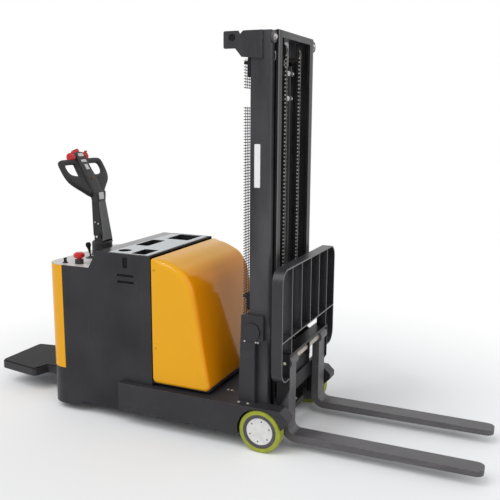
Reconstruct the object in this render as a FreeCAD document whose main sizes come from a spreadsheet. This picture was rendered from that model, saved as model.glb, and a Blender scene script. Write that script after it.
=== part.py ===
"""Counterbalance stacker: a walk-behind lift truck with a two-stage mast, forks and a fold-up platform.

Frame: X forward to the fork tips, Y to the left, Z up, floor at Z = 0, origin under the middle of
the overall length.  Lengths along X are named from the load axle, forward or back.
"""
import FreeCAD, Part
import math
import os
import re
import Sketcher

SIZES = {
    # Reach of the whole truck, from the load axle
    "rear_reach": 1870, "front_reach": 1072, "running_gap": 0.4, "sheet": 4,
    # Base: two legs and the frame between them
    "base_half": 390, "leg_inner": 308, "leg_wall": 12, "leg_bottom": 84, "leg_top": 240,
    "leg_rear": 840, "leg_toe": 60, "leg_front": 150, "nose_bottom": 176, "nose_top": 205, "nose_back": 112,
    "arch_gap": 9, "deck_thick": 10, "beam_front": 135, "beam_rear": 630, "beam_floor": 100,
    "floor_front": 630, "floor_rear": 1060,
    # Load wheels
    "wheel_radius": 112.5, "wheel_width": 58, "wheel_shade": 4, "rim_radius": 90, "hub_radius": 71,
    "hub_dish": 5, "axle_radius": 18, "tyre_round": 8,
    # Mast posts and the pin that the mast tilts on
    "pivot_back": 65, "pivot_height": 615, "post_inner": 312, "post_thick": 24, "post_back": 138,
    "post_top_back": 122, "post_front": 48, "post_height": 700, "post_cap_front": 5, "pin_radius": 20, "boss_radius": 45,
    "boss_thick": 10,
    # Body panels
    "body_half": 354, "panel_rear": 1221, "panel_front": 642, "step_rise": 97, "deck_height": 857,
    "skirt_bottom": 38, "skirt_top": 255, "notch_rear": 1141, "notch_front": 1109, "panel_bottom": 69,
    "step_foot": 1038, "step_head": 983, "rear_face": 1345, "rear_round": 102, "seam": 0.8,
    "vent_rear": 850, "vent_front": 745, "vent_tall": 14, "vent_high": 836, "vent_pitch": 36,
    "slot_rear": 813, "slot_front": 783, "slot_rise": 33,
    # Counterweight and its cover
    "weight_half": 356, "weight_rear": 638, "weight_bottom": 258, "weight_toe": 292, "weight_waist_x": 390,
    "weight_waist_z": 800, "weight_brow_x": 436, "weight_brow_z": 884, "weight_crown_x": 540,
    "weight_crown_z": 932, "weight_top": 946, "weight_round": 34, "weight_bend": 60, "cover_wall": 6,
    "weight_gap": 0.8, "weight_lift": 18,
    # Battery lid with its trays
    "lid_rear": 912, "lid_front": 649, "lid_thick": 10, "lid_pin_back": 655, "lid_pin": 3, "tray_deep": 46,
    "tray_wall": 3, "cup_back": 858, "cup_out": 262, "cup_radius": 36, "cup_deep": 70, "tray_round": 10,
    "ledge": 12,
    "tray_rear_0": 778, "tray_front_0": 692, "tray_right_0": -324, "tray_left_0": -182,
    "tray_rear_1": 900, "tray_front_1": 817, "tray_right_1": -97, "tray_left_1": 98,
    "tray_rear_2": 846, "tray_front_2": 700, "tray_right_2": 160, "tray_left_2": 330,
    # Battery, hydraulics and controller inside the body
    "battery_rear": 900, "battery_front": 668, "battery_half": 305, "battery_top": 690, "cell_cap": 12,
    "tank_rear": 1044, "tank_front": 925, "tank_out": 300, "tank_in": 60, "tank_top": 330,
    "pump_radius": 62, "pump_tall": 190, "control_thick": 70, "control_wide": 220, "control_tall": 180,
    # Drive unit and steering
    "steer_back": 1198, "drive_radius": 110, "drive_wide": 76, "plate_height": 330, "plate_thick": 12,
    "plate_front": 1060, "plate_half": 346, "motor_radius": 76, "motor_top": 610, "flange_radius": 100,
    "ring_thick": 16, "gear_inner": 46, "gear_outer": 112, "gear_half": 62, "column_radius": 32,
    "turret_radius": 60, "turret_rise": 87, "turret_base": 66, "drive_axle": 24,
    # Tiller
    "tiller_back": 1192, "tiller_rise": 115, "tiller_pin": 8, "arm_lean": 6, "arm_deep": 62, "arm_wide": 95,
    "arm_top_deep": 42, "arm_top_wide": 70, "arm_long": 222, "head_lean": 30, "head_thick": 36,
    "grip_half": 200, "grip_rise": 234, "grip_thick": 34, "neck_half": 46, "loop_low": 70, "loop_wide_rise": 142,
    "hole_in": 62, "pod_half": 46, "pod_low": 96, "pod_high": 300, "pod_thick": 62, "pod_round": 12,
    "paddle_long": 30, "paddle_radius": 26, "paddle_drop": 20, "paddle_bar": 6.5, "paddle_gap": 1.5, "belly_radius": 24, "belly_long": 22,
    "belly_travel": 8, "button_radius": 9, "button_tall": 7, "button_travel": 3, "rocker_long": 34,
    # Controls on the rear deck
    "stop_back": 1150, "stop_out": 285, "stop_radius": 31, "stop_tall": 30, "stop_stem": 14,
    "stop_collar": 24, "stop_rise": 36, "stop_travel": 8, "key_back": 1236, "key_out": 300, "key_radius": 10,
    "lever_back": 1195, "lever_out": 122, "lever_radius": 6, "lever_foot": 4.2, "lever_long": 62, "knob_radius": 14,
    # Platform
    "hinge_back": 1374, "hinge_height": 138, "hinge_pin": 8, "hinge_lug": 14, "hinge_half": 62,
    "platform_top": 150, "platform_thick": 44, "mat_thick": 8, "neck_wide": 132, "neck_rear": 1545,
    "platform_front_half": 222, "platform_rear_half": 178, "platform_round": 28,
    # Mast: outer rails, inner rails and their rollers
    "mast_height": 2080, "rail_half": 302, "rail_web": 12, "rail_back": 95, "rail_front": 10, "rail_flange": 12,
    "rail_tip": 252, "rail_bottom": 62, "rail_drop": 6, "inner_outer": 248, "inner_inner": 198,
    "inner_web_out": 229, "inner_web_in": 219, "inner_back": 80, "inner_front": 27, "inner_bottom": 68,
    "roller_gap": 0.5, "stub_radius": 12, "top_roller_drop": 120, "low_roller_z": 120,
    "beam_tall": 32, "cross_thick": 12, "cross_low": 100, "cross_tall": 120, "cross_mid": 720, "cross_drop": 220,
    "guard_back": 132, "guard_thick": 4, "guard_low": 756, "guard_drop": 130, "guard_half": 300,
    "guard_columns": 10, "guard_rows": 26, "guard_bar": 5, "guard_rim": 8,
    "bracket_thick": 8, "bracket_low": 560, "bracket_high": 715, "hose_bar_back": 188, "hose_bar_drop": 36,
    "hose_bar": 17, "ear_back": 232, "ear_front": 30, "ear_drop": 135,
    # Lift cylinder, chains and pulleys
    "cylinder_back": 42, "barrel_radius": 36, "barrel_bore": 28, "barrel_low": 100, "barrel_drop": 155,
    "gland_radius": 41, "gland_tall": 46, "rod_radius": 23, "clamp_low_drop": 313, "clamp_high_drop": 190,
    "clamp_tall": 22, "clamp_half": 82, "pulley_out": 95, "pulley_back": 31, "pulley_drop": 88,
    "pulley_pitch": 38, "pulley_rim": 43, "pulley_wide": 26, "pulley_pin": 10, "link_pitch": 19.05,
    "link_tall": 14, "link_waist": 10, "chain_wide": 16, "anchor_z": 402,
    # Carriage, backrest and forks
    "frame_back": 60, "frame_front": 128, "frame_half": 300, "frame_top": 509, "plate": 12, "end_plate": 8,
    "frame_low": 240, "bearing_top": 325, "bearing_deep": 18, "side_out": 190, "side_thick": 12, "side_back": 62,
    "side_low": 116, "side_high": 538, "roller_low_z": 168, "roller_high_z": 486, "bar_radius": 17.5,
    "bar_forward": 101, "bar_z": 462, "rest_half": 410, "rest_top": 957, "rest_low": 384, "rest_bend": 0.6364,
    "rest_bar": 7, "rest_deep": 55, "cross_z": 603, "slat": 6, "slat_count": 5, "slat_deep": 40,
    "fork_out": 234, "fork_wide": 100, "fork_thick": 40, "fork_back": 80, "fork_top_z": 84, "fork_heel": 76,
    "fork_tip_thick": 28, "fork_nose": 38, "eye_radius": 33, "eye_gap": 0.4, "fork_top": 448,
    # Tilt cylinder
    "tilt_z": 150, "tilt_radius": 30, "tilt_rod": 14, "tilt_rear": 520, "tilt_barrel": 250, "tilt_pin": 12,
    "tilt_eye": 26, "tilt_slack": 5, "tilt_eye_wide": 40, "tilt_lug": 12, "tilt_pin_back": 138,
}

# Sizes that follow others
TIED = {
    "panel_top": "=deck_height + step_rise", "slot_low": "=deck_height + slot_rise",
    "turret_top": "=deck_height + turret_rise", "tiller_pin_z": "=deck_height + tiller_rise",
    "top_roller_z": "=mast_height - top_roller_drop", "cross_high": "=mast_height - cross_drop",
    "guard_high": "=mast_height - guard_drop", "hose_bar_z": "=mast_height - hose_bar_drop",
    "ear_low": "=mast_height - ear_drop", "barrel_top": "=mast_height - barrel_drop",
    "clamp_low": "=mast_height - clamp_low_drop", "clamp_high": "=mast_height - clamp_high_drop",
    "pulley_z": "=mast_height - pulley_drop", "rest_round": "=(rest_half - frame_half) * rest_bend",
}

doc = FreeCAD.newDocument("CounterbalanceStacker")
sheet = doc.addObject("Spreadsheet::Sheet", "Sizes")
for row, (alias, number) in enumerate([*SIZES.items(), *TIED.items()], start=1):
    sheet.set(f"A{row}", alias)
    sheet.set(f"B{row}", str(number))
    sheet.setAlias(f"B{row}", alias)
doc.recompute()

FUNCTIONS = ("sin", "cos", "tan", "sqrt", "deg")
parts = {}


def linked(text):
    """The expression with every size read from the sheet."""
    def name(match):
        word = match.group(0)
        return word if word in FUNCTIONS else "Sizes." + word
    return re.sub(r"[A-Za-z_]\w*", name, text)


def size(text):
    """The present value of an expression, in millimetres."""
    return float(sheet.evalExpression(text))


def bind(item, prop, text):
    item.setExpression(prop, linked(text))


def place(item, at):
    for axis, text in zip("xyz", at):
        bind(item, f"Placement.Base.{axis}", text)


def ahead(text):
    """An X place measured forward from the load axle."""
    return f"(rear_reach - front_reach)/2 + {text}"


def behind(text):
    """An X place measured back from the load axle."""
    return f"(rear_reach - front_reach)/2 - ({text})"


def block(name, x, y, z):
    """A box between two X, two Y and two Z places."""
    item = doc.addObject("Part::Box", name)
    for prop, (low, high) in zip(("Length", "Width", "Height"), (x, y, z)):
        bind(item, prop, f"({high}) - ({low})")
    place(item, (x[0], y[0], z[0]))
    return item


TURN = {"X": ((0, 1, 0), 90), "Y": ((1, 0, 0), -90), "Z": ((0, 0, 1), 0)}


def rod(name, axis, at, radius, length):
    """A round bar that starts at a point and runs along an axis."""
    item = doc.addObject("Part::Cylinder", name)
    direction, angle = TURN[axis]
    item.Placement = FreeCAD.Placement(FreeCAD.Vector(), FreeCAD.Rotation(FreeCAD.Vector(*direction), angle))
    bind(item, "Radius", radius)
    bind(item, "Height", length)
    place(item, at)
    return item


def outline(body, name, role, points):
    """A closed sketch of straight lines whose corners are bound to the sheet."""
    sketch = body.newObject("Sketcher::SketchObject", name)
    plane = [item for item in body.Origin.OriginFeatures if item.Role == role][0]
    sketch.AttachmentSupport = [(plane, "")]
    sketch.MapMode = "FlatFace"
    corners = [FreeCAD.Vector(size(across), size(up), 0) for across, up in points]
    for number, corner in enumerate(corners):
        sketch.addGeometry(Part.LineSegment(corner, corners[(number + 1) % len(corners)]), False)
    for number in range(len(corners)):
        sketch.addConstraint(Sketcher.Constraint("Coincident", number, 2, (number + 1) % len(corners), 1))
    for number, (across, up) in enumerate(points):
        for kind, text in (("DistanceX", across), ("DistanceY", up)):
            index = sketch.addConstraint(Sketcher.Constraint(kind, -1, 1, number, 1, size(text)))
            label = f"{kind[-1].lower()}{number}"
            sketch.renameConstraint(index, label)
            bind(sketch, f"Constraints.{label}", text)
    return sketch


PLANES = {"X": "YZ_Plane", "Y": "XZ_Plane", "Z": "XY_Plane"}


def fillet(body, name, edges, radius):
    """A round of one radius on the edges that a test picks from the body's last shape."""
    doc.recompute()
    base = body.Tip
    picked = [f"Edge{number}" for number, edge in enumerate(base.Shape.Edges, start=1) if edges(edge)]
    feature = body.newObject("PartDesign::Fillet", name)
    feature.Base = (base, picked)
    bind(feature, "Radius", radius)
    body.Tip = feature
    return body


def along(edge, axis):
    """Whether a straight edge runs along an axis."""
    if edge.Curve.TypeId != "Part::GeomLine":
        return False
    return abs(getattr(edge.Curve.Direction, axis.lower())) > 0.999


def prism(name, axis, points, start, end, rounds=None, soften=None):
    """An outline square to an axis, drawn out between two places on it.

    Points are (X, Z) for Y, (Y, Z) for X and (X, Y) for Z.  rounds gives radii to numbered
    corners, and soften rounds the rim of both end faces.
    """
    body = doc.addObject("PartDesign::Body", name)
    sketch = outline(body, f"{name}_outline", PLANES[axis], points)
    bind(sketch, "AttachmentOffset.Base.z", f"-({end})" if axis == "Y" else start)
    pad = body.newObject("PartDesign::Pad", f"{name}_pad")
    pad.Profile = sketch
    bind(pad, "Length", f"({end}) - ({start})")
    body.Tip = pad
    for radius in sorted(set((rounds or {}).values())):
        corners = [points[number] for number, value in rounds.items() if value == radius]
        spots = [(size(across), size(up)) for across, up in corners]
        others = [letter for letter in "xyz" if letter != axis.lower()]

        def at_corner(edge):
            middle = edge.CenterOfMass
            spot = [getattr(middle, letter) for letter in others]
            return along(edge, axis) and any(math.dist(spot, known) < 0.01 for known in spots)
        fillet(body, f"{name}_round_{len(body.Group)}", at_corner, radius)
    if soften:
        low, high = size(start), size(end)

        def on_rim(edge):
            box = edge.BoundBox
            least = getattr(box, axis + "Min")
            most = getattr(box, axis + "Max")
            return most - least < 0.01 and min(abs(least - low), abs(least - high)) < 0.01
        fillet(body, f"{name}_soft", on_rim, soften)
    return body


def turned(name, axis, points, at):
    """A profile of (along, radius) points revolved about an axis through a point."""
    body = doc.addObject("PartDesign::Body", name)
    role, line = {"X": ("XZ_Plane", "H_Axis"), "Y": ("YZ_Plane", "H_Axis"), "Z": ("XZ_Plane", "V_Axis")}[axis]
    flat = [(radius, length) if axis == "Z" else (length, radius) for length, radius in points]
    sketch = outline(body, f"{name}_profile", role, flat)
    turn = body.newObject("PartDesign::Revolution", f"{name}_turn")
    turn.Profile = sketch
    turn.ReferenceAxis = (sketch, [line])
    turn.Angle = 360
    body.Tip = turn
    place(body, at)
    return body


def cut(name, base, *tools):
    """The base with each tool taken away in turn."""
    for number, tool in enumerate(tools):
        item = doc.addObject("Part::Cut", name if number == len(tools) - 1 else f"{name}_cut_{number}")
        item.Base = base
        item.Tool = tool
        base = item
    return base


def fuse(name, *pieces):
    item = doc.addObject("Part::MultiFuse", name)
    item.Shapes = list(pieces)
    item.Refine = True
    return item


def group(name, *pieces):
    """Separate solids that share one node."""
    item = doc.addObject("Part::Compound", name)
    item.Links = list(pieces)
    return item


def mirrored(name, piece):
    """The same piece on the other side of the middle plane."""
    item = doc.addObject("Part::Mirroring", name)
    item.Source = piece
    item.Normal = (0, 1, 0)
    return item


def keep(name, item):
    """Name a finished sub-part; its label names its file."""
    item.Label = name
    parts[name] = item
    return item


def pair(name, build):
    """A left piece, and its mirror image on the right."""
    left = keep(f"{name}_left", build(f"{name}_left"))
    keep(f"{name}_right", mirrored(f"{name}_right", left))


def build_base():
    """Two legs with wheel arches and mast posts, and the frame between them."""
    def leg(name):
        side = prism(f"{name}_bar", "Y", [
            (behind("leg_rear"), "leg_bottom"), (ahead("leg_toe"), "leg_bottom"),
            (ahead("leg_front"), "nose_bottom"),
            (ahead("leg_front"), "nose_top"), (ahead("nose_back"), "leg_top"), (behind("leg_rear"), "leg_top")],
            "leg_inner", "base_half")
        arch = rod(f"{name}_arch", "Y", (ahead("0"), "leg_inner + leg_wall", "wheel_radius"),
                   "wheel_radius + arch_gap", "base_half")
        return group(name, cut(f"{name}_beam", side, arch), post(f"{name}_post"))

    def post(name):
        plate = prism(f"{name}_plate", "Y", [
            (behind("post_back"), "leg_top"), (behind("post_front"), "leg_top"),
            (behind("post_front"), "pivot_height - boss_radius"),
            (behind("post_cap_front"), "pivot_height - boss_radius"),
            (behind("post_cap_front"), "post_height"), (behind("post_top_back"), "post_height")],
            "post_inner", "post_inner + post_thick", rounds={4: "bracket_thick", 5: "bracket_thick"})
        bore = rod(f"{name}_bore", "Y", (behind("pivot_back"), "post_inner - 1", "pivot_height"),
                   "pin_radius", "post_thick + 2")
        return cut(name, plate, bore)
    pair("leg", leg)

    beam = block("frame_beam", (behind("beam_rear"), behind("beam_front")), ("-leg_inner", "leg_inner"),
                 ("beam_floor", "leg_top"))
    tunnel = block("frame_tunnel", (behind("tilt_rear + tilt_eye"), behind("beam_front - 1")),
                   ("-tilt_eye_wide", "tilt_eye_wide"), ("beam_floor - 1", "leg_top - deck_thick"))
    floor = block("frame_floor", (behind("floor_rear"), behind("floor_front")), ("-leg_inner", "leg_inner"),
                  ("beam_floor - deck_thick", "beam_floor"))
    return fuse("frame_weldment", cut("frame_hollow", beam, tunnel), floor)


def build_pins():
    """Trunnion pins, load axles and lid studs, fixed in the base and panels."""
    def trunnion(name):
        pin = rod(f"{name}_pin", "Y", (behind("pivot_back"), "rail_half + 1", "pivot_height"), "pin_radius",
                  "post_inner + post_thick - rail_half - 1")
        head = rod(f"{name}_head", "Y", (behind("pivot_back"), "post_inner + post_thick", "pivot_height"),
                   "boss_radius", "boss_thick")
        return fuse(name, pin, head)
    trunnion_pin = trunnion("trunnion")
    axle = rod("load_axle", "Y", (ahead("0"), "leg_inner + leg_wall", "wheel_radius"), "axle_radius",
               "wheel_width/2 + wheel_shade")
    stud = rod("lid_stud", "Y", (behind("lid_pin_back"), "body_half - 3*sheet", "panel_top - lid_thick/2"),
               "lid_pin",
               "2*sheet")
    pins = []
    for piece in (trunnion_pin, axle, stud):
        pins += [piece, mirrored(f"{piece.Name}_right", piece)]
    keep("fixed_pins", group("fixed_pins", *pins))


def build_load_wheels():
    """Polyurethane tyres on dark rims, with a dished hub disc outside."""
    inner = "leg_inner + leg_wall + wheel_shade"

    def wheel(name):
        tyre = turned(f"{name}_tyre", "Y", [
            ("0", "rim_radius"), ("0", "wheel_radius - tyre_round"), ("tyre_round/2", "wheel_radius"),
            ("wheel_width - tyre_round/2", "wheel_radius"), ("wheel_width", "wheel_radius - tyre_round"),
            ("wheel_width", "rim_radius")], (ahead("0"), inner, "wheel_radius"))
        rim = turned(f"{name}_rim", "Y", [
            ("0", "axle_radius + running_gap"), ("0", "rim_radius"), ("wheel_width", "rim_radius"),
            ("wheel_width", "hub_radius"), ("wheel_width - hub_dish", "hub_radius - hub_dish"),
            ("wheel_width - hub_dish", "0"), ("wheel_width/2 + running_gap", "0"),
            ("wheel_width/2 + running_gap", "axle_radius + running_gap")], (ahead("0"), inner, "wheel_radius"))
        return group(name, tyre, rim)
    pair("load_wheel", wheel)


def rear_ring(name, bottom, top):
    """A wall that runs round the back of the body with two large corners."""
    def plan(label, inset, low, high):
        front = behind("panel_rear")
        return prism(label, "Z", [
            (front, f"body_half - {inset}"), (behind(f"rear_face - {inset}"), f"body_half - {inset}"),
            (behind(f"rear_face - {inset}"), f"{inset} - body_half"), (front, f"{inset} - body_half")],
            low, high, rounds={1: f"rear_round - {inset}", 2: f"rear_round - {inset}"})
    return cut(name, plan(f"{name}_outside", "0", bottom, top), plan(f"{name}_inside", "sheet", f"{bottom} - 1",
                                                                     f"{top} + 1"))


def build_body():
    """Side panels, skirt, rear cover, control deck and the cowl that climbs to the battery lid."""
    def panel(name):
        sheet_metal = prism(f"{name}_sheet", "Y", [
            (behind("panel_rear - seam"), "skirt_bottom"), (behind("notch_rear"), "skirt_bottom"),
            (behind("notch_front"), "panel_bottom"), (behind("leg_rear + seam"), "panel_bottom"),
            (behind("leg_rear + seam"), "leg_top"), (behind("panel_front"), "leg_top"),
            (behind("panel_front"), "panel_top"), (behind("step_head"), "panel_top"),
            (behind("step_foot"), "deck_height"), (behind("panel_rear - seam"), "deck_height")],
            "body_half - sheet", "body_half")
        tools = []
        for number in range(2):
            middle = f"vent_high - vent_pitch*{number}"
            tools.append(block(f"{name}_vent_{number}", (behind("vent_rear"), behind("vent_front")),
                               ("body_half - 2*sheet", "body_half + 1"),
                               (f"{middle} - vent_tall/2", f"{middle} + vent_tall/2")))
        tools.append(block(f"{name}_slot", (behind("slot_rear"), behind("slot_front")),
                           ("body_half - 2*sheet", "body_half + 1"), ("slot_low", "panel_top - 2*lid_thick")))
        tools.append(rod(f"{name}_slot_foot", "Y", (behind("(slot_rear + slot_front)/2"), "body_half - 2*sheet",
                                                    "slot_low"), "(slot_rear - slot_front)/2", "3*sheet"))
        return cut(name, sheet_metal, *tools)
    pair("side_panel", panel)

    keep("rear_skirt", rear_ring("rear_skirt", "skirt_bottom", "skirt_top - seam"))
    keep("rear_cover", rear_ring("rear_cover", "skirt_top", "deck_height - seam"))

    inset = "(sheet + running_gap)"
    plate = prism("deck_plate", "Z", [
        (behind("step_foot + seam"), f"body_half - {inset}"),
        (behind(f"rear_face - {inset}"), f"body_half - {inset}"),
        (behind(f"rear_face - {inset}"), f"{inset} - body_half"),
        (behind("step_foot + seam"), f"{inset} - body_half")],
        "deck_height - 2*sheet", "deck_height", rounds={1: f"rear_round - {inset}", 2: f"rear_round - {inset}"})
    column_hole = rod("deck_column_hole", "Z", (behind("steer_back"), "0", "deck_height - 3*sheet"),
                      "column_radius + 4*running_gap", "4*sheet")
    stop_hole = rod("deck_stop_hole", "Z", (behind("stop_back"), "-stop_out", "deck_height - 3*sheet"),
                    "stop_stem + running_gap", "4*sheet")
    collar = cut("stop_collar_ring",
                 rod("stop_collar_outer", "Z", (behind("stop_back"), "-stop_out", "deck_height"), "stop_collar",
                     "stop_rise - stop_travel - 2"),
                 rod("stop_collar_bore", "Z", (behind("stop_back"), "-stop_out", "deck_height - 1"),
                     "stop_stem + running_gap", "stop_rise"))
    gaiter = turned("lever_gaiter", "Z", [
        ("0", "0"), ("0", "2*knob_radius"), ("sheet", "2*knob_radius"), ("3*sheet", "lever_radius"),
        ("3*sheet", "0")],
        (behind("lever_back"), "-lever_out", "deck_height"))
    key_ring = rod("key_ring", "Z", (behind("key_back"), "-key_out", "deck_height"), "1.6*key_radius", "sheet")
    keep("control_deck", group("control_deck", cut("deck_top", plate, column_hole, stop_hole), collar, gaiter,
                               key_ring))

    wall = "2*sheet"
    cowl = prism("cowl_bend", "Y", [
        (behind("step_foot"), f"deck_height - {wall}"), (behind("step_foot"), "deck_height"),
        (behind("step_head"), "panel_top"), (behind("lid_rear + seam"), "panel_top"),
        (behind("lid_rear + seam"), f"panel_top - lid_thick - {wall}"),
        (behind("step_head - sheet"), f"panel_top - lid_thick - {wall}"),
        (behind("step_foot - sheet"), f"deck_height - {wall}")], "sheet - body_half", "body_half - sheet")
    ledge = block("lid_ledge", (behind("lid_rear + 2*lid_thick"), behind("lid_front + 2*lid_thick")),
                  ("body_half - sheet - ledge", "body_half - sheet"),
                  (f"panel_top - lid_thick - {wall}", "panel_top - lid_thick - running_gap"))
    keep("step_cowl", fuse("step_cowl", cowl, ledge, mirrored("lid_ledge_right", ledge)))


def weight_profile(inset, drop):
    """Side outline of the counterweight, drawn in by an even amount."""
    return [
        (behind("weight_rear"), f"weight_bottom + {drop}"),
        (behind(f"weight_toe + {inset}"), f"weight_bottom + {drop}"),
        (behind(f"weight_waist_x + {inset}"), f"weight_waist_z - {inset}/2"),
        (behind(f"weight_brow_x + {inset}"), f"weight_brow_z - {inset}"),
        (behind(f"weight_crown_x + {inset}/2"), f"weight_crown_z - {inset}"),
        (behind("weight_rear"), f"weight_top - {inset}")]


def build_counterweight():
    """A cast block that stands on the legs, under a moulded cover with large rounds."""
    bends = {2: "weight_bend", 3: "weight_bend", 4: "weight_bend"}

    def on_front(edge):
        """The rims of both sides, apart from the open back and bottom."""
        box = edge.BoundBox
        flat = box.YLength < 0.01
        rear = box.XMax < size(behind("weight_rear")) + 0.01
        low = box.ZMax < size("weight_bottom + weight_lift") + 0.01
        return flat and not rear and not low
    outside = prism("cover_outside", "Y", weight_profile("0", "0"), "-weight_half", "weight_half", rounds=bends)
    fillet(outside, "cover_outside_rims", on_front, "weight_round")
    inside = prism("cover_inside", "Y", weight_profile("cover_wall", "-1"), "cover_wall - weight_half",
                   "weight_half - cover_wall",
                   rounds={2: "weight_bend - cover_wall", 3: "weight_bend - cover_wall",
                                                       4: "weight_bend - cover_wall"})
    fillet(inside, "cover_inside_rims", on_front, "weight_round - cover_wall")
    keep("counterweight_cover", cut("counterweight_cover", outside, inside))

    gap = "(cover_wall + weight_gap)"
    casting = prism("casting", "Y", weight_profile(gap, "0"), f"{gap} - weight_half", f"weight_half - {gap}",
                    rounds={2: "weight_bend - cover_wall", 3: "weight_bend - cover_wall",
                            4: "weight_bend - cover_wall"})
    fillet(casting, "casting_rims", on_front, "weight_round - cover_wall")
    foot = block("casting_foot", (behind("beam_rear"), behind("weight_toe + 2*weight_lift")),
                 ("-leg_inner", "leg_inner"), ("leg_top", "weight_bottom"))
    keep("counterweight", fuse("counterweight", casting, foot))


def build_power():
    """Battery, hydraulic power unit and motor controller, inside the body."""
    case = block("battery_case", (behind("battery_rear"), behind("battery_front")),
                 ("-battery_half", "battery_half"),
                 ("beam_floor", "battery_top"))
    caps = []
    for column in range(2):
        for row in range(6):
            caps.append(rod(f"cell_cap_{column}_{row}", "Z", (
                behind(f"battery_rear - (battery_rear - battery_front)*{column + 0.5}/2"),
                f"battery_half*({row} - 2.5)/3", "battery_top"), "1.5*cell_cap", "cell_cap"))
    keep("battery", fuse("battery", case, *caps))

    tank = block("oil_tank", (behind("tank_rear"), behind("tank_front")), ("-tank_out", "-tank_in"),
                 ("beam_floor", "tank_top"))
    middle = (behind("(tank_rear + tank_front)/2"), "-(tank_out + tank_in)/2")
    pump = rod("pump_motor", "Z", (*middle, "tank_top"), "pump_radius", "pump_tall")
    cap = rod("filler_cap", "Z", (middle[0], "-tank_in - 1.5*cell_cap - sheet", "tank_top"), "1.5*cell_cap",
              "cell_cap")
    controller = block("motor_controller", (behind("tank_front + control_thick"), behind("tank_front")),
                       ("tank_in", "tank_in + control_wide"), ("beam_floor", "beam_floor + control_tall"))
    keep("power_units", group("power_units", tank, pump, cap, controller))


def build_lid():
    """Lid over the battery, moulded with three trays and a cup holder, on two hinge studs."""
    top = "panel_top"
    plate = block("lid_plate", (behind("lid_rear"), behind("lid_front")),
                  ("sheet + running_gap - body_half", "body_half - sheet - running_gap"),
                  (f"{top} - lid_thick", top))
    shells, holes = [], []
    for number in range(3):
        x = (behind(f"tray_rear_{number}"), behind(f"tray_front_{number}"))
        y = (f"tray_right_{number}", f"tray_left_{number}")
        for label, grow, low, high, kept in (
                ("shell", "tray_wall", f"{top} - tray_deep - tray_wall", f"{top} - lid_thick", shells),
                ("well", "0", f"{top} - tray_deep", f"{top} + 1", holes)):
            kept.append(prism(f"tray_{label}_{number}", "Z", [
                (f"{x[0]} - {grow}", f"{y[0]} - {grow}"), (f"{x[1]} + {grow}", f"{y[0]} - {grow}"),
                (f"{x[1]} + {grow}", f"{y[1]} + {grow}"), (f"{x[0]} - {grow}", f"{y[1]} + {grow}")], low, high,
                rounds={corner: f"tray_round + {grow}" for corner in range(4)}))
    cup = (behind("cup_back"), "-cup_out")
    shells.append(rod("cup_shell", "Z", (*cup, f"{top} - cup_deep - tray_wall"), "cup_radius + tray_wall",
                      "cup_deep + tray_wall - lid_thick"))
    holes.append(rod("cup_well", "Z", (*cup, f"{top} - cup_deep"), "cup_radius", "cup_deep + 1"))
    for side in (-1, 1):
        holes.append(rod(f"lid_bore_{side}", "Y",
                         (behind("lid_pin_back"), f"{side}*(body_half - 2*sheet) - lid_thick",
                                                   f"{top} - lid_thick/2"), "lid_pin + running_gap",
                                                   "2*lid_thick"))
    keep("battery_lid", cut("battery_lid", fuse("lid_moulding", plate, *shells), *holes))


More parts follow.
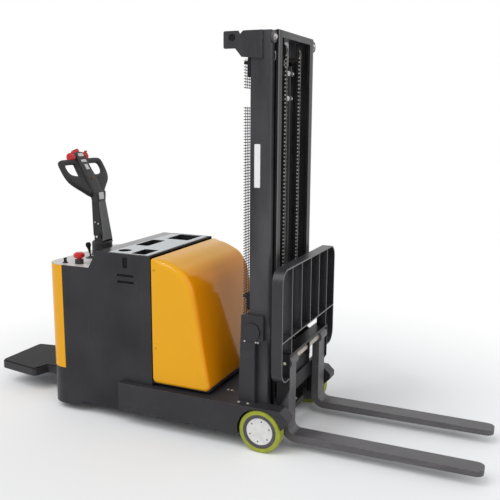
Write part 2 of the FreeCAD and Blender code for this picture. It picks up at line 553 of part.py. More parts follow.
def build_drive(frame):
    """Steered drive unit: mounting plate, gearbox, motor, wheel and the column up to the tiller."""
    centre = (behind("steer_back"), "0")
    plate = block("mount_plate", (behind("rear_face - 2*sheet"), behind("plate_front")),
                  ("-plate_half", "plate_half"),
                  ("plate_height", "plate_height + plate_thick"))
    hole = rod("mount_hole", "Z", (*centre, "plate_height - 1"), "motor_radius + sheet", "plate_thick + 2")
    corner_room = prism("mount_corners", "Z", [
        (behind("rear_face - sheet"), "body_half - sheet"), (behind("rear_face - sheet"), "sheet - body_half"),
        (behind("plate_front - 1"), "sheet - body_half"), (behind("plate_front - 1"), "body_half - sheet")],
        "plate_height - 1", "plate_height + plate_thick + 1", rounds={0: "rear_round", 1: "rear_round"})
    trimmed = doc.addObject("Part::Common", "mount_trimmed")
    trimmed.Base = cut("mount_ring", plate, hole)
    trimmed.Tool = corner_room
    ring = cut("slew_ring",
               rod("slew_outer", "Z", (*centre, "plate_height - ring_thick"), "flange_radius + 3*sheet",
                   "ring_thick"),
               rod("slew_bore", "Z", (*centre, "plate_height - ring_thick - 1"), "flange_radius + running_gap",
                   "ring_thick + 2"))
    riser = block("mount_riser", (behind("floor_rear"), behind("floor_rear - plate_thick")),
                  ("-leg_inner", "leg_inner"), ("beam_floor", "plate_height"))
    link = block("mount_link", (behind("floor_rear"), behind("plate_front - plate_thick")),
                 ("-leg_inner", "leg_inner"), ("plate_height", "plate_height + plate_thick"))
    keep("chassis_frame", fuse("chassis_frame", frame, trimmed, ring, riser, link))

    flange = rod("gear_flange", "Z", (*centre, "plate_height - ring_thick"), "flange_radius",
                 "ring_thick - running_gap")
    housing = prism("gear_housing", "Y", [
        (behind("steer_back + gear_half"), "drive_radius - gear_half"),
        (behind("steer_back - gear_half"), "drive_radius - gear_half"),
        (behind("steer_back - gear_half"), "plate_height - ring_thick"),
        (behind("steer_back + gear_half"), "plate_height - ring_thick")], "gear_inner", "gear_outer",
        rounds={0: "gear_half/2", 1: "gear_half/2"})
    crown = block("gear_crown", (behind("steer_back + gear_half"), behind("steer_back - gear_half")),
                  ("-gear_half", "gear_inner"), ("2*drive_radius + 4*sheet", "plate_height - ring_thick"))
    stub = rod("drive_stub", "Y", (*centre[:1], "drive_wide*-0.5", "drive_radius"), "drive_axle",
               "drive_wide/2 + gear_inner")
    motor = rod("drive_motor", "Z", (*centre, "plate_height - ring_thick"), "motor_radius",
                "motor_top - plate_height + ring_thick")
    keep("drive_gearbox", fuse("drive_gearbox", flange, housing, crown, stub, motor))

    tread = turned("drive_tread", "Y", [
        ("-drive_wide/2", "drive_axle + running_gap"), ("-drive_wide/2", "drive_radius - tyre_round"),
        ("tyre_round - drive_wide/2", "drive_radius"), ("drive_wide/2 - tyre_round", "drive_radius"),
        ("drive_wide/2", "drive_radius - tyre_round"), ("drive_wide/2", "drive_axle + running_gap")],
        (*centre, "drive_radius"))
    keep("drive_wheel", tread)

    column = rod("column_tube", "Z", (*centre, "motor_top"), "column_radius", "deck_height - motor_top + sheet")
    turret = turned("turret_cap", "Z", [
        ("0", "0"), ("0", "turret_base"), ("2*sheet", "turret_radius"),
        ("turret_top - deck_height - 3*sheet", "turret_radius"),
        ("turret_top - deck_height - sheet", "turret_radius - 2*sheet"),
        ("turret_top - deck_height - sheet", "0")],
        (*centre, "deck_height + sheet/2"))
    lugs = []
    for side in ("arm_wide/2 + running_gap", "-(arm_wide/2 + running_gap + 2*sheet)"):
        lugs.append(prism(f"turret_lug_{len(lugs)}", "Y", [
            (behind("tiller_back + 2.4*tiller_pin"), "turret_top - 3*sheet"),
            (behind("tiller_back - 4*tiller_pin"), "turret_top - 3*sheet"),
            (behind("tiller_back - 2.4*tiller_pin"), "tiller_pin_z + 2.4*tiller_pin"),
            (behind("tiller_back + 2.4*tiller_pin"), "tiller_pin_z + 2.4*tiller_pin")], side, f"{side} + 2*sheet",
            rounds={2: "2.2*tiller_pin", 3: "2.2*tiller_pin"}))
    pin = rod("tiller_pin_bar", "Y", (behind("tiller_back"), "-(arm_wide/2 + 3*sheet)", "tiller_pin_z"),
              "tiller_pin",
              "arm_wide + 6*sheet")
    keep("steering_column", fuse("steering_column", column, turret, *lugs, pin))


def leaning(item, angle, at):
    """Stand a piece, drawn upright at the origin, on a point with its top leaning back."""
    item.Placement = FreeCAD.Placement(FreeCAD.Vector(), FreeCAD.Rotation(FreeCAD.Vector(0, -1, 0), size(angle)))
    item.setExpression("Placement.Rotation.Angle", f"{linked(angle)} * 1 deg")
    place(item, at)
    return item


PIN = (behind("tiller_back"), "0", "tiller_pin_z")
NECK = (f"{behind('tiller_back')} - arm_long*sin(arm_lean*1 deg)", "0",
        "tiller_pin_z + arm_long*cos(arm_lean*1 deg)")


def build_tiller():
    """Arm, head with two finger loops, and the controls on the head."""
    side = prism("arm_side", "Y", [
        ("-arm_deep/2", "tiller_pin"), ("arm_deep/2", "tiller_pin"),
        ("arm_top_deep/2", "arm_long + arm_top_deep/2"),
        ("-arm_top_deep/2", "arm_long + arm_top_deep/2")], "-arm_wide/2", "arm_wide/2")
    front = prism("arm_front", "X", [
        ("-arm_wide/2", "tiller_pin"), ("arm_wide/2", "tiller_pin"),
        ("arm_top_wide/2", "arm_long + arm_top_deep/2"),
        ("-arm_top_wide/2", "arm_long + arm_top_deep/2")], "-arm_deep", "arm_deep")
    shaft = doc.addObject("Part::Common", "arm_taper")
    shaft.Base = side
    shaft.Tool = front
    knuckle = rod("arm_knuckle", "Y", ("0", "-arm_wide/2", "0"), "3*tiller_pin", "arm_wide")
    bore = rod("arm_bore", "Y", ("0", "-arm_wide", "0"), "tiller_pin + running_gap", "2*arm_wide")
    arm = leaning(cut("arm_bored", fuse("arm_blank", shaft, knuckle), bore), "arm_lean", PIN)
    across = ("-arm_wide", "arm_wide")
    above = block("mitre_above", ("-arm_wide", "arm_wide"), across, ("0", "arm_wide"))
    below = block("mitre_below", ("-arm_wide", "arm_wide"), across, ("-arm_wide", "0"))
    above = leaning(group("mitre_top", above), "(arm_lean + head_lean)/2", NECK)
    below = leaning(group("mitre_foot", below), "(arm_lean + head_lean)/2", NECK)
    keep("tiller_arm", cut("tiller_arm", arm, above))

    half = "head_thick/2"
    loop = prism("head_loop", "X", [
        ("-neck_half", "-arm_top_deep/2"), ("neck_half", "-arm_top_deep/2"), ("grip_half", "loop_wide_rise"),
        ("grip_half", "grip_rise + grip_thick/2"), ("-grip_half", "grip_rise + grip_thick/2"),
        ("-grip_half", "loop_wide_rise")], f"-{half}", half,
        rounds={2: "grip_thick", 5: "grip_thick", 3: "grip_thick*1.1", 4: "grip_thick*1.1"},
        soften="head_thick/3")
    holes = []
    for sign in ("", "-"):
        holes.append(prism(f"finger_hole_{len(holes)}", "X", [
            (f"{sign}hole_in", "loop_low + 1.2*grip_thick"),
            (f"{sign}(grip_half - grip_thick)", "loop_wide_rise + grip_thick/4"),
            (f"{sign}(grip_half - grip_thick)", "grip_rise - grip_thick/2"),
            (f"{sign}hole_in", "grip_rise - grip_thick/2")],
            "-head_thick", "head_thick", rounds={corner: "grip_thick/2.4" for corner in range(4)}))
    pod = prism("head_pod", "X", [
        ("-pod_half", "pod_low"), ("pod_half", "pod_low"), ("pod_half", "pod_high"), ("-pod_half", "pod_high")],
        "pod_thick*-0.55", "pod_thick*0.45", rounds={corner: "pod_round" for corner in range(4)},
        soften="pod_round/2")
    face = "pod_thick*0.45"
    middle = "(pod_low + pod_high)/2"
    tools = [rod("paddle_bore", "Y", ("0", "-2*pod_half", "pod_high - paddle_drop"), "paddle_bar + running_gap",
                 "4*pod_half"),
             rod("belly_hole", "Z", ("0", "0", "pod_high - belly_travel - 2"), "belly_radius + running_gap",
                 "belly_long"),
             rod("horn_hole", "X", (f"{face} - button_tall", "0", "pod_low + 3*button_radius"),
                 "button_radius + running_gap", "2*button_tall"),
             block("rocker_pocket", (f"{face} - 1.4*button_tall", f"{face} + button_tall"),
                   ("-1.5*button_radius - running_gap", "1.5*button_radius + running_gap"),
                   (f"{middle} - rocker_long/2 - 2*running_gap", f"{middle} + rocker_long/2 + 2*running_gap"))]
    head = cut("head_bored", fuse("head_blank", cut("head_open", loop, *holes), pod), *tools)
    keep("tiller_head", cut("tiller_head", leaning(head, "head_lean", NECK), below))

    axis_z = "pod_high - paddle_drop"
    bar = rod("paddle_bar", "Y", ("0", "-(pod_half + paddle_long/2)", axis_z), "paddle_bar",
              "2*pod_half + paddle_long")
    wheels = []
    for side in ("pod_half + paddle_gap", "-(pod_half + paddle_long)"):
        wide, rim = "paddle_long - paddle_gap", "paddle_radius/6"
        wheels.append(turned(f"paddle_{len(wheels)}", "Y", [
            ("0", "0"), ("0", f"paddle_radius - {rim}"), (rim, "paddle_radius"), (f"{wide} - {rim}", "paddle_radius"),
            (wide, f"paddle_radius - {rim}"), (wide, "0")], ("0", side, axis_z)))
        wheels.append(prism(f"paddle_tab_{len(wheels)}", "Y", [
            ("paddle_radius*0.5", f"{axis_z} + paddle_radius*0.6"), ("paddle_radius*0.8", f"{axis_z} + paddle_radius*0.3"),
            ("paddle_radius*1.25", f"{axis_z} + paddle_radius*0.8"),
            ("paddle_radius*1.05", f"{axis_z} + paddle_radius*0.95")],
            f"{side} + {rim}", f"{side} + {wide} - {rim}"))
    keep("throttle_paddles", leaning(fuse("throttle_paddles", bar, *wheels), "head_lean", NECK))
    belly = rod("belly_cap", "Z", ("0", "0", "pod_high - running_gap"), "belly_radius", "belly_long")
    keep("belly_button", leaning(group("belly_button", belly), "head_lean", NECK))
    horn = rod("horn_cap", "X", (f"{face} - button_tall + button_travel + running_gap", "0",
                                 "pod_low + 3*button_radius"),
               "button_radius", "button_tall")
    keep("horn_button", leaning(group("horn_button", horn), "head_lean", NECK))
    rocker = prism("rocker_cap", "Y", [
        (f"{face} - button_tall/2", f"{middle} - rocker_long/2"),
        (f"{face} + button_tall/2", f"{middle} - rocker_long/2"), (f"{face} + button_tall/4", middle),
        (f"{face} + button_tall/2", f"{middle} + rocker_long/2"),
        (f"{face} - button_tall/2", f"{middle} + rocker_long/2")], "-1.5*button_radius", "1.5*button_radius")
    pivot = rod("rocker_pivot", "Y", (face, "-1.5*button_radius", middle), "button_tall/2", "3*button_radius")
    keep("lift_rocker", leaning(fuse("lift_rocker", rocker, pivot), "head_lean", NECK))


def build_deck_controls():
    """Emergency stop, key and hydraulic lever on the control deck."""
    knob = turned("stop_knob", "Z", [
        ("0", "0"), ("0", "stop_radius*0.8"), ("stop_tall*0.2", "stop_radius"), ("stop_tall*0.7", "stop_radius"),
        ("stop_tall", "stop_radius*0.6"), ("stop_tall", "0")],
        (behind("stop_back"), "-stop_out", "deck_height + stop_rise"))
    stem = rod("stop_stem_bar", "Z", (behind("stop_back"), "-stop_out", "deck_height - 2*sheet"), "stop_stem",
               "stop_rise + 2*sheet")
    keep("emergency_stop", fuse("emergency_stop", knob, stem))

    grip = prism("key_grip", "Y", [
        (behind("key_back + key_radius*0.3"), "deck_height + sheet + running_gap"),
        (behind("key_back - key_radius*0.3"), "deck_height + sheet + running_gap"),
        (behind("key_back - key_radius*0.3"), "deck_height + sheet + 2.6*key_radius"),
        (behind("key_back + key_radius*0.3"), "deck_height + sheet + 2.6*key_radius")], "-key_out - key_radius",
        "key_radius - key_out")
    keep("key", fuse("key", grip, rod("key_plug", "Z", (behind("key_back"), "-key_out",
                                                        "deck_height + sheet + running_gap"),
                                      "key_radius", "sheet")))

    stick = turned("lever_stick", "Z", [
        ("0", "0"), ("0", "lever_foot"), ("lever_long", "lever_foot"), ("lever_long", "0")], ("0", "0", "0"))
    foot = rod("lever_pivot", "Y", ("0", "-lever_foot", "0"), "lever_foot", "2*lever_foot")
    ball = turned("lever_ball", "Z", [
        ("lever_long - knob_radius", "0"), ("lever_long - knob_radius", "knob_radius*0.6"),
        ("lever_long - knob_radius/2", "knob_radius"), ("lever_long + knob_radius/2", "knob_radius"),
        ("lever_long + knob_radius", "knob_radius*0.6"), ("lever_long + knob_radius", "0")], ("0", "0", "0"))
    lever = fuse("hydraulic_lever", stick, ball, foot)
    keep("hydraulic_lever", leaning(lever, "2*arm_lean", (behind("lever_back"), "-lever_out",
                                                           "deck_height + 3*sheet + running_gap + lever_foot")))


def build_platform():
    """Stand-on platform that folds up on a pin behind the skirt."""
    pin_at = (behind("hinge_back"), "-(hinge_half + hinge_lug)", "hinge_height")
    lugs = []
    for side in ("hinge_half", "-(hinge_half + hinge_lug)"):
        lugs.append(prism(f"hinge_lug_{len(lugs)}", "Y", [
            (behind("rear_face"), "hinge_height - 3*hinge_pin"),
            (behind("rear_face"), "hinge_height + 2*hinge_pin"),
            (behind("hinge_back + 1.8*hinge_pin"), "hinge_height + 1.8*hinge_pin"),
            (behind("hinge_back + 1.8*hinge_pin"), "hinge_height - 1.8*hinge_pin")], side, f"{side} + hinge_lug",
            rounds={2: "1.7*hinge_pin", 3: "1.7*hinge_pin"}))
    bar = rod("hinge_bar", "Y", pin_at, "hinge_pin", "2*(hinge_half + hinge_lug)")
    keep("platform_hinge", fuse("platform_hinge", *lugs, bar))

    half = "neck_wide"
    knuckle_gap = "hinge_half - 2*running_gap"
    neck_start = "rear_face + 7*hinge_pin"
    plan = [(behind(neck_start), f"-({half})"), (behind(neck_start), half), (behind("neck_rear"), half),
            (behind("neck_rear + platform_round"), "platform_front_half"),
            (behind("rear_reach"), "platform_rear_half"),
            (behind("rear_reach"), "-platform_rear_half"),
            (behind("neck_rear + platform_round"), "-platform_front_half"),
            (behind("neck_rear"), f"-({half})")]
    corners = {number: "platform_round" for number in (3, 4, 5, 6)}
    tray = prism("platform_tray", "Z", plan, "platform_top - mat_thick - platform_thick",
                 "platform_top - mat_thick",
                 rounds=corners)
    tongue = block("platform_tongue", (behind(neck_start), behind("hinge_back")),
                   (f"-({knuckle_gap})", knuckle_gap),
                   ("hinge_height - 1.6*hinge_pin", "hinge_height + hinge_pin"))
    knuckle = rod("platform_knuckle", "Y", (behind("hinge_back"), f"-({knuckle_gap})", "hinge_height"),
                  "1.6*hinge_pin",
                  f"2*({knuckle_gap})")
    bore = rod("platform_bore", "Y", (behind("hinge_back"), f"-2*({knuckle_gap})", "hinge_height"),
               "hinge_pin + running_gap", f"4*({knuckle_gap})")
    keep("platform", cut("platform", fuse("platform_blank", tray, tongue, knuckle), bore))
    rim = "platform_round/4"
    mat = [(behind(f"{neck_start} + {rim}"), f"{rim} - {half}"),
           (behind(f"{neck_start} + {rim}"), f"{half} - {rim}"),
           (behind(f"neck_rear + {rim}"), f"{half} - {rim}"),
           (behind(f"neck_rear + platform_round + {rim}"), f"platform_front_half - {rim}"),
           (behind(f"rear_reach - {rim}"), f"platform_rear_half - {rim}"),
           (behind(f"rear_reach - {rim}"), f"{rim} - platform_rear_half"),
           (behind(f"neck_rear + platform_round + {rim}"), f"{rim} - platform_front_half"),
           (behind(f"neck_rear + {rim}"), f"{rim} - {half}")]
    keep("platform_mat", prism("platform_mat", "Z", mat, "platform_top - mat_thick", "platform_top",
                               rounds={number: f"platform_round - {rim}" for number in (3, 4, 5, 6)}))


def roller(name, middle, inner, wide, radius, height, hole):
    """A mast roller with a chamfered rim on its stub axle."""
    rim = f"({wide})/8"
    return turned(name, "Y", [
        ("0", hole), ("0", f"{radius} - {rim}"), (rim, radius), (f"{wide} - {rim}", radius),
        (wide, f"{radius} - {rim}"), (wide, hole)], (middle, inner, height))


OUTER_MIDDLE = behind("(rail_back - rail_front)/2")
INNER_MIDDLE = behind("(inner_back - inner_front)/2")
OUTER_ROLLER = "(rail_back + rail_front)/2 - rail_flange - roller_gap"
INNER_ROLLER = "(inner_back + inner_front)/2 - rail_flange - roller_gap"


def build_outer_mast():
    """Channel rails that open inwards, cross members, brackets and the wire guard."""
    top = "mast_height - rail_drop"

    def rail(name):
        channel = prism(f"{name}_channel", "Z", [
            (behind("rail_back"), "rail_tip"), (behind("rail_back"), "rail_half"),
            (ahead("rail_front"), "rail_half"),
            (ahead("rail_front"), "rail_tip"), (ahead("rail_front - rail_flange"), "rail_tip"),
            (ahead("rail_front - rail_flange"), "rail_half - rail_web"),
            (behind("rail_back - rail_flange"), "rail_half - rail_web"),
            (behind("rail_back - rail_flange"), "rail_tip")],
            "rail_bottom", top, rounds={1: "rail_flange/2", 2: "rail_flange/2"})
        stub = rod(f"{name}_stub", "Y", (INNER_MIDDLE, "inner_web_out + 2*running_gap", "top_roller_z"),
                   "stub_radius",
                   "rail_half - rail_web - inner_web_out - 2*running_gap")
        return group(name, fuse(f"{name}_rail", channel, stub), *brackets(f"{name}_bracket"))

    wheel = roller("top_roller", INNER_MIDDLE, "inner_web_out + 3*running_gap",
                   "inner_outer - inner_web_out - 6*running_gap",
                   INNER_ROLLER, "top_roller_z", "stub_radius + running_gap")
    keep("outer_mast_rollers", group("outer_mast_rollers", wheel, mirrored("top_roller_right", wheel)))

    back = (behind("rail_back + cross_thick"), behind("rail_back"))
    members = []
    for name, low, tall in (("low", "cross_low", "cross_tall"), ("mid", "cross_mid", "cross_tall*0.7"),
                            ("high", "cross_high", "cross_tall")):
        members.append(block(f"cross_{name}", back, ("-rail_half", "rail_half"), (low, f"{low} + {tall}")))
    strips = []
    for height in ("cross_mid + cross_tall/2", "cross_high + cross_tall/2"):
        strips.append(block(f"guard_strip_{len(strips)}",
                            (behind("guard_back - guard_thick"), behind("rail_back + cross_thick")),
                            ("-guard_half", "guard_half"), (height, f"{height} + cross_thick")))
    feet = []
    for side in (-1, 1):
        feet.append(block(f"chain_foot_{side}",
                          (behind("rail_back"), behind("pulley_back + pulley_pitch - link_tall/2")),
                          (f"{side}*pulley_out - chain_wide", f"{side}*pulley_out + chain_wide"),
                          ("cross_low + cross_tall - 2*plate", "cross_low + cross_tall")))
    clevis = []
    for side in ("tilt_eye_wide/2 + 2*running_gap", "-(tilt_eye_wide/2 + 2*running_gap + tilt_lug)"):
        clevis.append(prism(f"tilt_clevis_{len(clevis)}", "Y", [
            (behind("rail_back + cross_thick"), "tilt_z - tilt_eye"),
            (behind("rail_back + cross_thick"), "tilt_z + tilt_eye"),
            (behind("tilt_pin_back + 2*tilt_pin"), "tilt_z + 1.6*tilt_pin"),
            (behind("tilt_pin_back + 2*tilt_pin"), "tilt_z - 1.6*tilt_pin")], side, f"{side} + tilt_lug",
            rounds={2: "1.4*tilt_pin", 3: "1.4*tilt_pin"}))
    pin = rod("tilt_pin_bar", "Y", (behind("tilt_pin_back"), "-(tilt_eye_wide/2 + tilt_lug)", "tilt_z"),
              "tilt_pin",
              "tilt_eye_wide + 2*tilt_lug")
    tie = rod("hose_tie", "Y", (behind("hose_bar_back"), "-(rail_half + bracket_thick)", "hose_bar_z"),
              "hose_bar - running_gap", "2*(rail_half + bracket_thick)")
    keep("mast_cross_members", group("mast_cross_members", fuse("cross_low_set", members[0], *clevis, *feet, pin),
                                     fuse("cross_mid_set", members[1], strips[0]),
                                     fuse("cross_high_set", members[2], strips[1]), tie))

    def brackets(name):
        near, far = "rail_half", "rail_half + bracket_thick"
        pivot = cut(f"{name}_pivot", prism(f"{name}_plate", "Y", [
            (behind("rail_back"), "bracket_low"), (ahead("rail_front"), "bracket_low"),
            (ahead("rail_front"), "bracket_high"), (behind("rail_back"), "bracket_high")], near, far,
            rounds={corner: "bracket_thick" for corner in range(4)}),
            rod(f"{name}_bore", "Y", (behind("pivot_back"), f"{near} - 1", "pivot_height"),
                "pin_radius + running_gap",
                "2*bracket_thick"))
        ear = cut(f"{name}_ear", prism(f"{name}_ear_plate", "Y", [
            (behind("ear_back"), "hose_bar_z - 3*hose_bar"),
            (behind("hose_bar_back - hose_bar"), "hose_bar_z - 3*hose_bar"),
            (behind("rail_back + 2.5*hose_bar"), "ear_low + hose_bar/2"),
            (behind("ear_front"), "ear_low"),
            (behind("ear_front"), top), (behind("rail_back + 2*hose_bar"), top),
            (behind("rail_back + 3*hose_bar"), f"{top} - hose_bar"), (behind("rail_back + 3.5*hose_bar"), top),
            (behind("ear_back"), top)], near, far, rounds={0: "bracket_thick", 8: "bracket_thick"}),
            rod(f"{name}_ear_bore", "Y", (behind("hose_bar_back"), f"{near} - 1", "hose_bar_z"), "hose_bar",
                "2*bracket_thick"))
        return pivot, ear
    pair("outer_rail", rail)

    guard = doc.addObject("Part::Feature", "wire_guard")
    low, high, half, rim, bar = (size(word) for word in ("guard_low", "guard_high", "guard_half", "guard_rim",
                                                         "guard_bar"))
    columns, rows = int(size("guard_columns")), int(size("guard_rows"))
    x = size(behind("guard_back"))

    def frame_wire(y0, z0, y1, z1):
        corners = [(x, y0, z0), (x, y1, z0), (x, y1, z1), (x, y0, z1), (x, y0, z0)]
        return Part.makePolygon([FreeCAD.Vector(*corner) for corner in corners])
    wide = (2 * half - 2 * rim + bar) / columns
    tall = (high - low - 2 * rim + bar) / rows
    openings = []
    for column in range(columns):
        for line in range(rows):
            y0 = rim - half + column * wide
            z0 = low + rim + line * tall
            openings.append(frame_wire(y0, z0, y0 + wide - bar, z0 + tall - bar))
    net = Part.makeFace([frame_wire(-half, low, half, high), *openings], "Part::FaceMakerBullseye")
    guard.Shape = net.extrude(FreeCAD.Vector(size("guard_thick"), 0, 0))
    keep("wire_guard", guard)


def build_inner_mast():
    """I-section rails inside the channels, their beams, and the lower rollers."""
    def rail(name):
        beam = prism(f"{name}_section", "Z", [
            (behind("inner_back"), "inner_inner"), (behind("inner_back - rail_flange"), "inner_inner"),
            (behind("inner_back - rail_flange"), "inner_web_in"),
            (ahead("inner_front - rail_flange"), "inner_web_in"),
            (ahead("inner_front - rail_flange"), "inner_inner"), (ahead("inner_front"), "inner_inner"),
            (ahead("inner_front"), "inner_outer"), (ahead("inner_front - rail_flange"), "inner_outer"),
            (ahead("inner_front - rail_flange"), "inner_web_out"),
            (behind("inner_back - rail_flange"), "inner_web_out"),
            (behind("inner_back - rail_flange"), "inner_outer"), (behind("inner_back"), "inner_outer")],
            "inner_bottom", "mast_height")
        stub = rod(f"{name}_stub", "Y", (OUTER_MIDDLE, "inner_web_out", "low_roller_z"), "stub_radius",
                   "rail_half - rail_web - inner_web_out - 2*running_gap")
        return fuse(name, beam, stub)
    pair("inner_rail", rail)

    wheel = roller("low_roller", OUTER_MIDDLE, "rail_tip + 2*running_gap",
                   "rail_half - rail_web - rail_tip - 5*running_gap",
                   OUTER_ROLLER, "low_roller_z", "stub_radius + running_gap")
    keep("inner_mast_rollers", group("inner_mast_rollers", wheel, mirrored("low_roller_right", wheel)))

    top = block("top_beam", (behind("inner_back - rail_flange"), ahead("inner_front")),
                ("-inner_inner", "inner_inner"),
                ("mast_height - beam_tall", "mast_height"))
    hangers = []
    gap = "pulley_wide/2 + 2*running_gap"
    for side in (-1, 1):
        for face in (f"{gap}", f"-({gap} + sheet)"):
            hangers.append(block(f"hanger_{len(hangers)}",
                                 (behind("pulley_back + 2*pulley_pin"), behind("pulley_back - 2*pulley_pin")),
                                 (f"{side}*pulley_out + {face}", f"{side}*pulley_out + {face} + sheet"),
                                 ("pulley_z - 2*pulley_pin", "mast_height - beam_tall")))
        hangers.append(rod(f"hanger_pin_{side}", "Y", (behind("pulley_back"), f"{side}*pulley_out - ({gap})",
                                                       "pulley_z"),
                           "pulley_pin", f"2*({gap})"))
    bottom = block("bottom_beam", (ahead("inner_front - rail_flange"), ahead("inner_front")),
                   ("-inner_inner", "inner_inner"), ("inner_bottom", "inner_bottom + beam_tall"))
    keep("inner_mast_beams", group("inner_mast_beams", fuse("top_beam_set", top, *hangers), bottom))


def build_lift():
    """Lift cylinder, chain pulleys and the two leaf chains."""
    centre = (behind("cylinder_back"), "0")
    tube = fuse("barrel_outer", rod("barrel_tube", "Z", (*centre, "barrel_low"), "barrel_radius",
                                    "barrel_top - barrel_low"),
                rod("barrel_gland", "Z", (*centre, "barrel_top - gland_tall"), "gland_radius", "gland_tall"))
    bore = rod("barrel_bore_space", "Z", (*centre, "barrel_low + barrel_radius"), "barrel_bore",
               "barrel_top - gland_tall - barrel_low - barrel_radius")
    mouth = rod("gland_mouth", "Z", (*centre, "barrel_top - 2*gland_tall"), "rod_radius + running_gap",
                "3*gland_tall")
    foot = block("barrel_foot", (behind("rail_back"), behind("cylinder_back")),
                 ("-barrel_radius/2", "barrel_radius/2"),
                 ("barrel_low", "barrel_low + barrel_radius"))
    barrel = cut("lift_barrel", fuse("barrel_set", tube, foot), bore, mouth)
    saddles = []
    for height in ("clamp_low", "clamp_high"):
        bar = block(f"saddle_{len(saddles)}", (behind("rail_back"), behind("cylinder_back")),
                    ("-clamp_half", "clamp_half"),
                    (f"{height} - clamp_tall/2", f"{height} + clamp_tall/2"))
        seat = rod(f"saddle_seat_{len(saddles)}", "Z", (*centre, f"{height} - clamp_tall"),
                   "gland_radius" if height == "clamp_high" else "barrel_radius", "2*clamp_tall")
        saddles.append(cut(f"cylinder_clamp_{len(saddles)}", bar, seat))
    keep("lift_cylinder", group("lift_cylinder", barrel, *saddles))
    keep("lift_rod", rod("lift_rod", "Z", (*centre, "barrel_low + 2*barrel_radius"), "rod_radius",
                         "mast_height - beam_tall - barrel_low - 2*barrel_radius"))

    root = "pulley_pitch - link_tall/2 - running_gap"
    groove = "chain_wide/2 + running_gap"
    wheel = turned("pulley_wheel", "Y", [
        ("-pulley_wide/2", "pulley_pin + running_gap"), ("-pulley_wide/2", "pulley_rim"),
        (f"-({groove})", "pulley_rim"),
        (f"-({groove})", root), (groove, root), (groove, "pulley_rim"), ("pulley_wide/2", "pulley_rim"),
        ("pulley_wide/2", "pulley_pin + running_gap")], (behind("pulley_back"), "pulley_out", "pulley_z"))
    keep("chain_pulleys", group("chain_pulleys", wheel, mirrored("pulley_wheel_right", wheel)))

    pitch, broad, waist, wide = (size(word) for word in ("link_pitch", "link_tall", "link_waist", "chain_wide"))
    reach, axis_z = size("pulley_pitch"), size("pulley_z")
    axis_x = size(behind("pulley_back"))

    def edge_points(x, side, start, end):
        """One edge of a straight run: full width at each link pin, waisted between pins."""
        count = int(round(abs(end - start) / pitch))
        step = (end - start) / count
        spots = []
        for number in range(2 * count + 1):
            width = waist if number % 2 else broad
            spots.append(FreeCAD.Vector(x + side * width / 2, 0, start + step * number / 2))
        return spots

    def run_face(x, start, end):
        ring = edge_points(x, 1, start, end) + edge_points(x, -1, end, start)
        return Part.Face(Part.makePolygon(ring + ring[:1]))

    def bow_face():
        """Half a ring over the pulley."""
        rings = []
        for side in (-1, 1):
            radius = reach + side * broad / 2
            rings.append(Part.Arc(*(FreeCAD.Vector(axis_x + radius * math.cos(turn), 0,
                                                   axis_z + radius * math.sin(turn))
                                    for turn in (0, math.pi / 2, math.pi))).toShape())
        ends = [Part.makeLine(rings[0].Vertexes[number].Point,
                              rings[1].Vertexes[number].Point) for number in (0, 1)]
        return Part.Face(Part.Wire(Part.__sortEdges__([*rings, *ends])))

    def chain(name, faces):
        drawn = [face.extrude(FreeCAD.Vector(0, wide, 0)) for face in faces]
        whole = drawn[0].multiFuse(drawn[1:]).removeSplitter() if len(drawn) > 1 else drawn[0]
        copies = []
        for side in (-1, 1):
            copy = whole.copy()
            copy.translate(FreeCAD.Vector(0, side * size("pulley_out") - wide / 2, 0))
            copies.append(copy.Solids[0])
        item = doc.addObject("Part::Feature", name)
        item.Shape = Part.makeCompound(copies)
        return keep(name, item)
    chain("chains_front", [run_face(axis_x + reach, axis_z, size("anchor_z"))])
    chain("chains_back", [bow_face(), run_face(axis_x - reach, axis_z, size("cross_low + cross_tall"))])


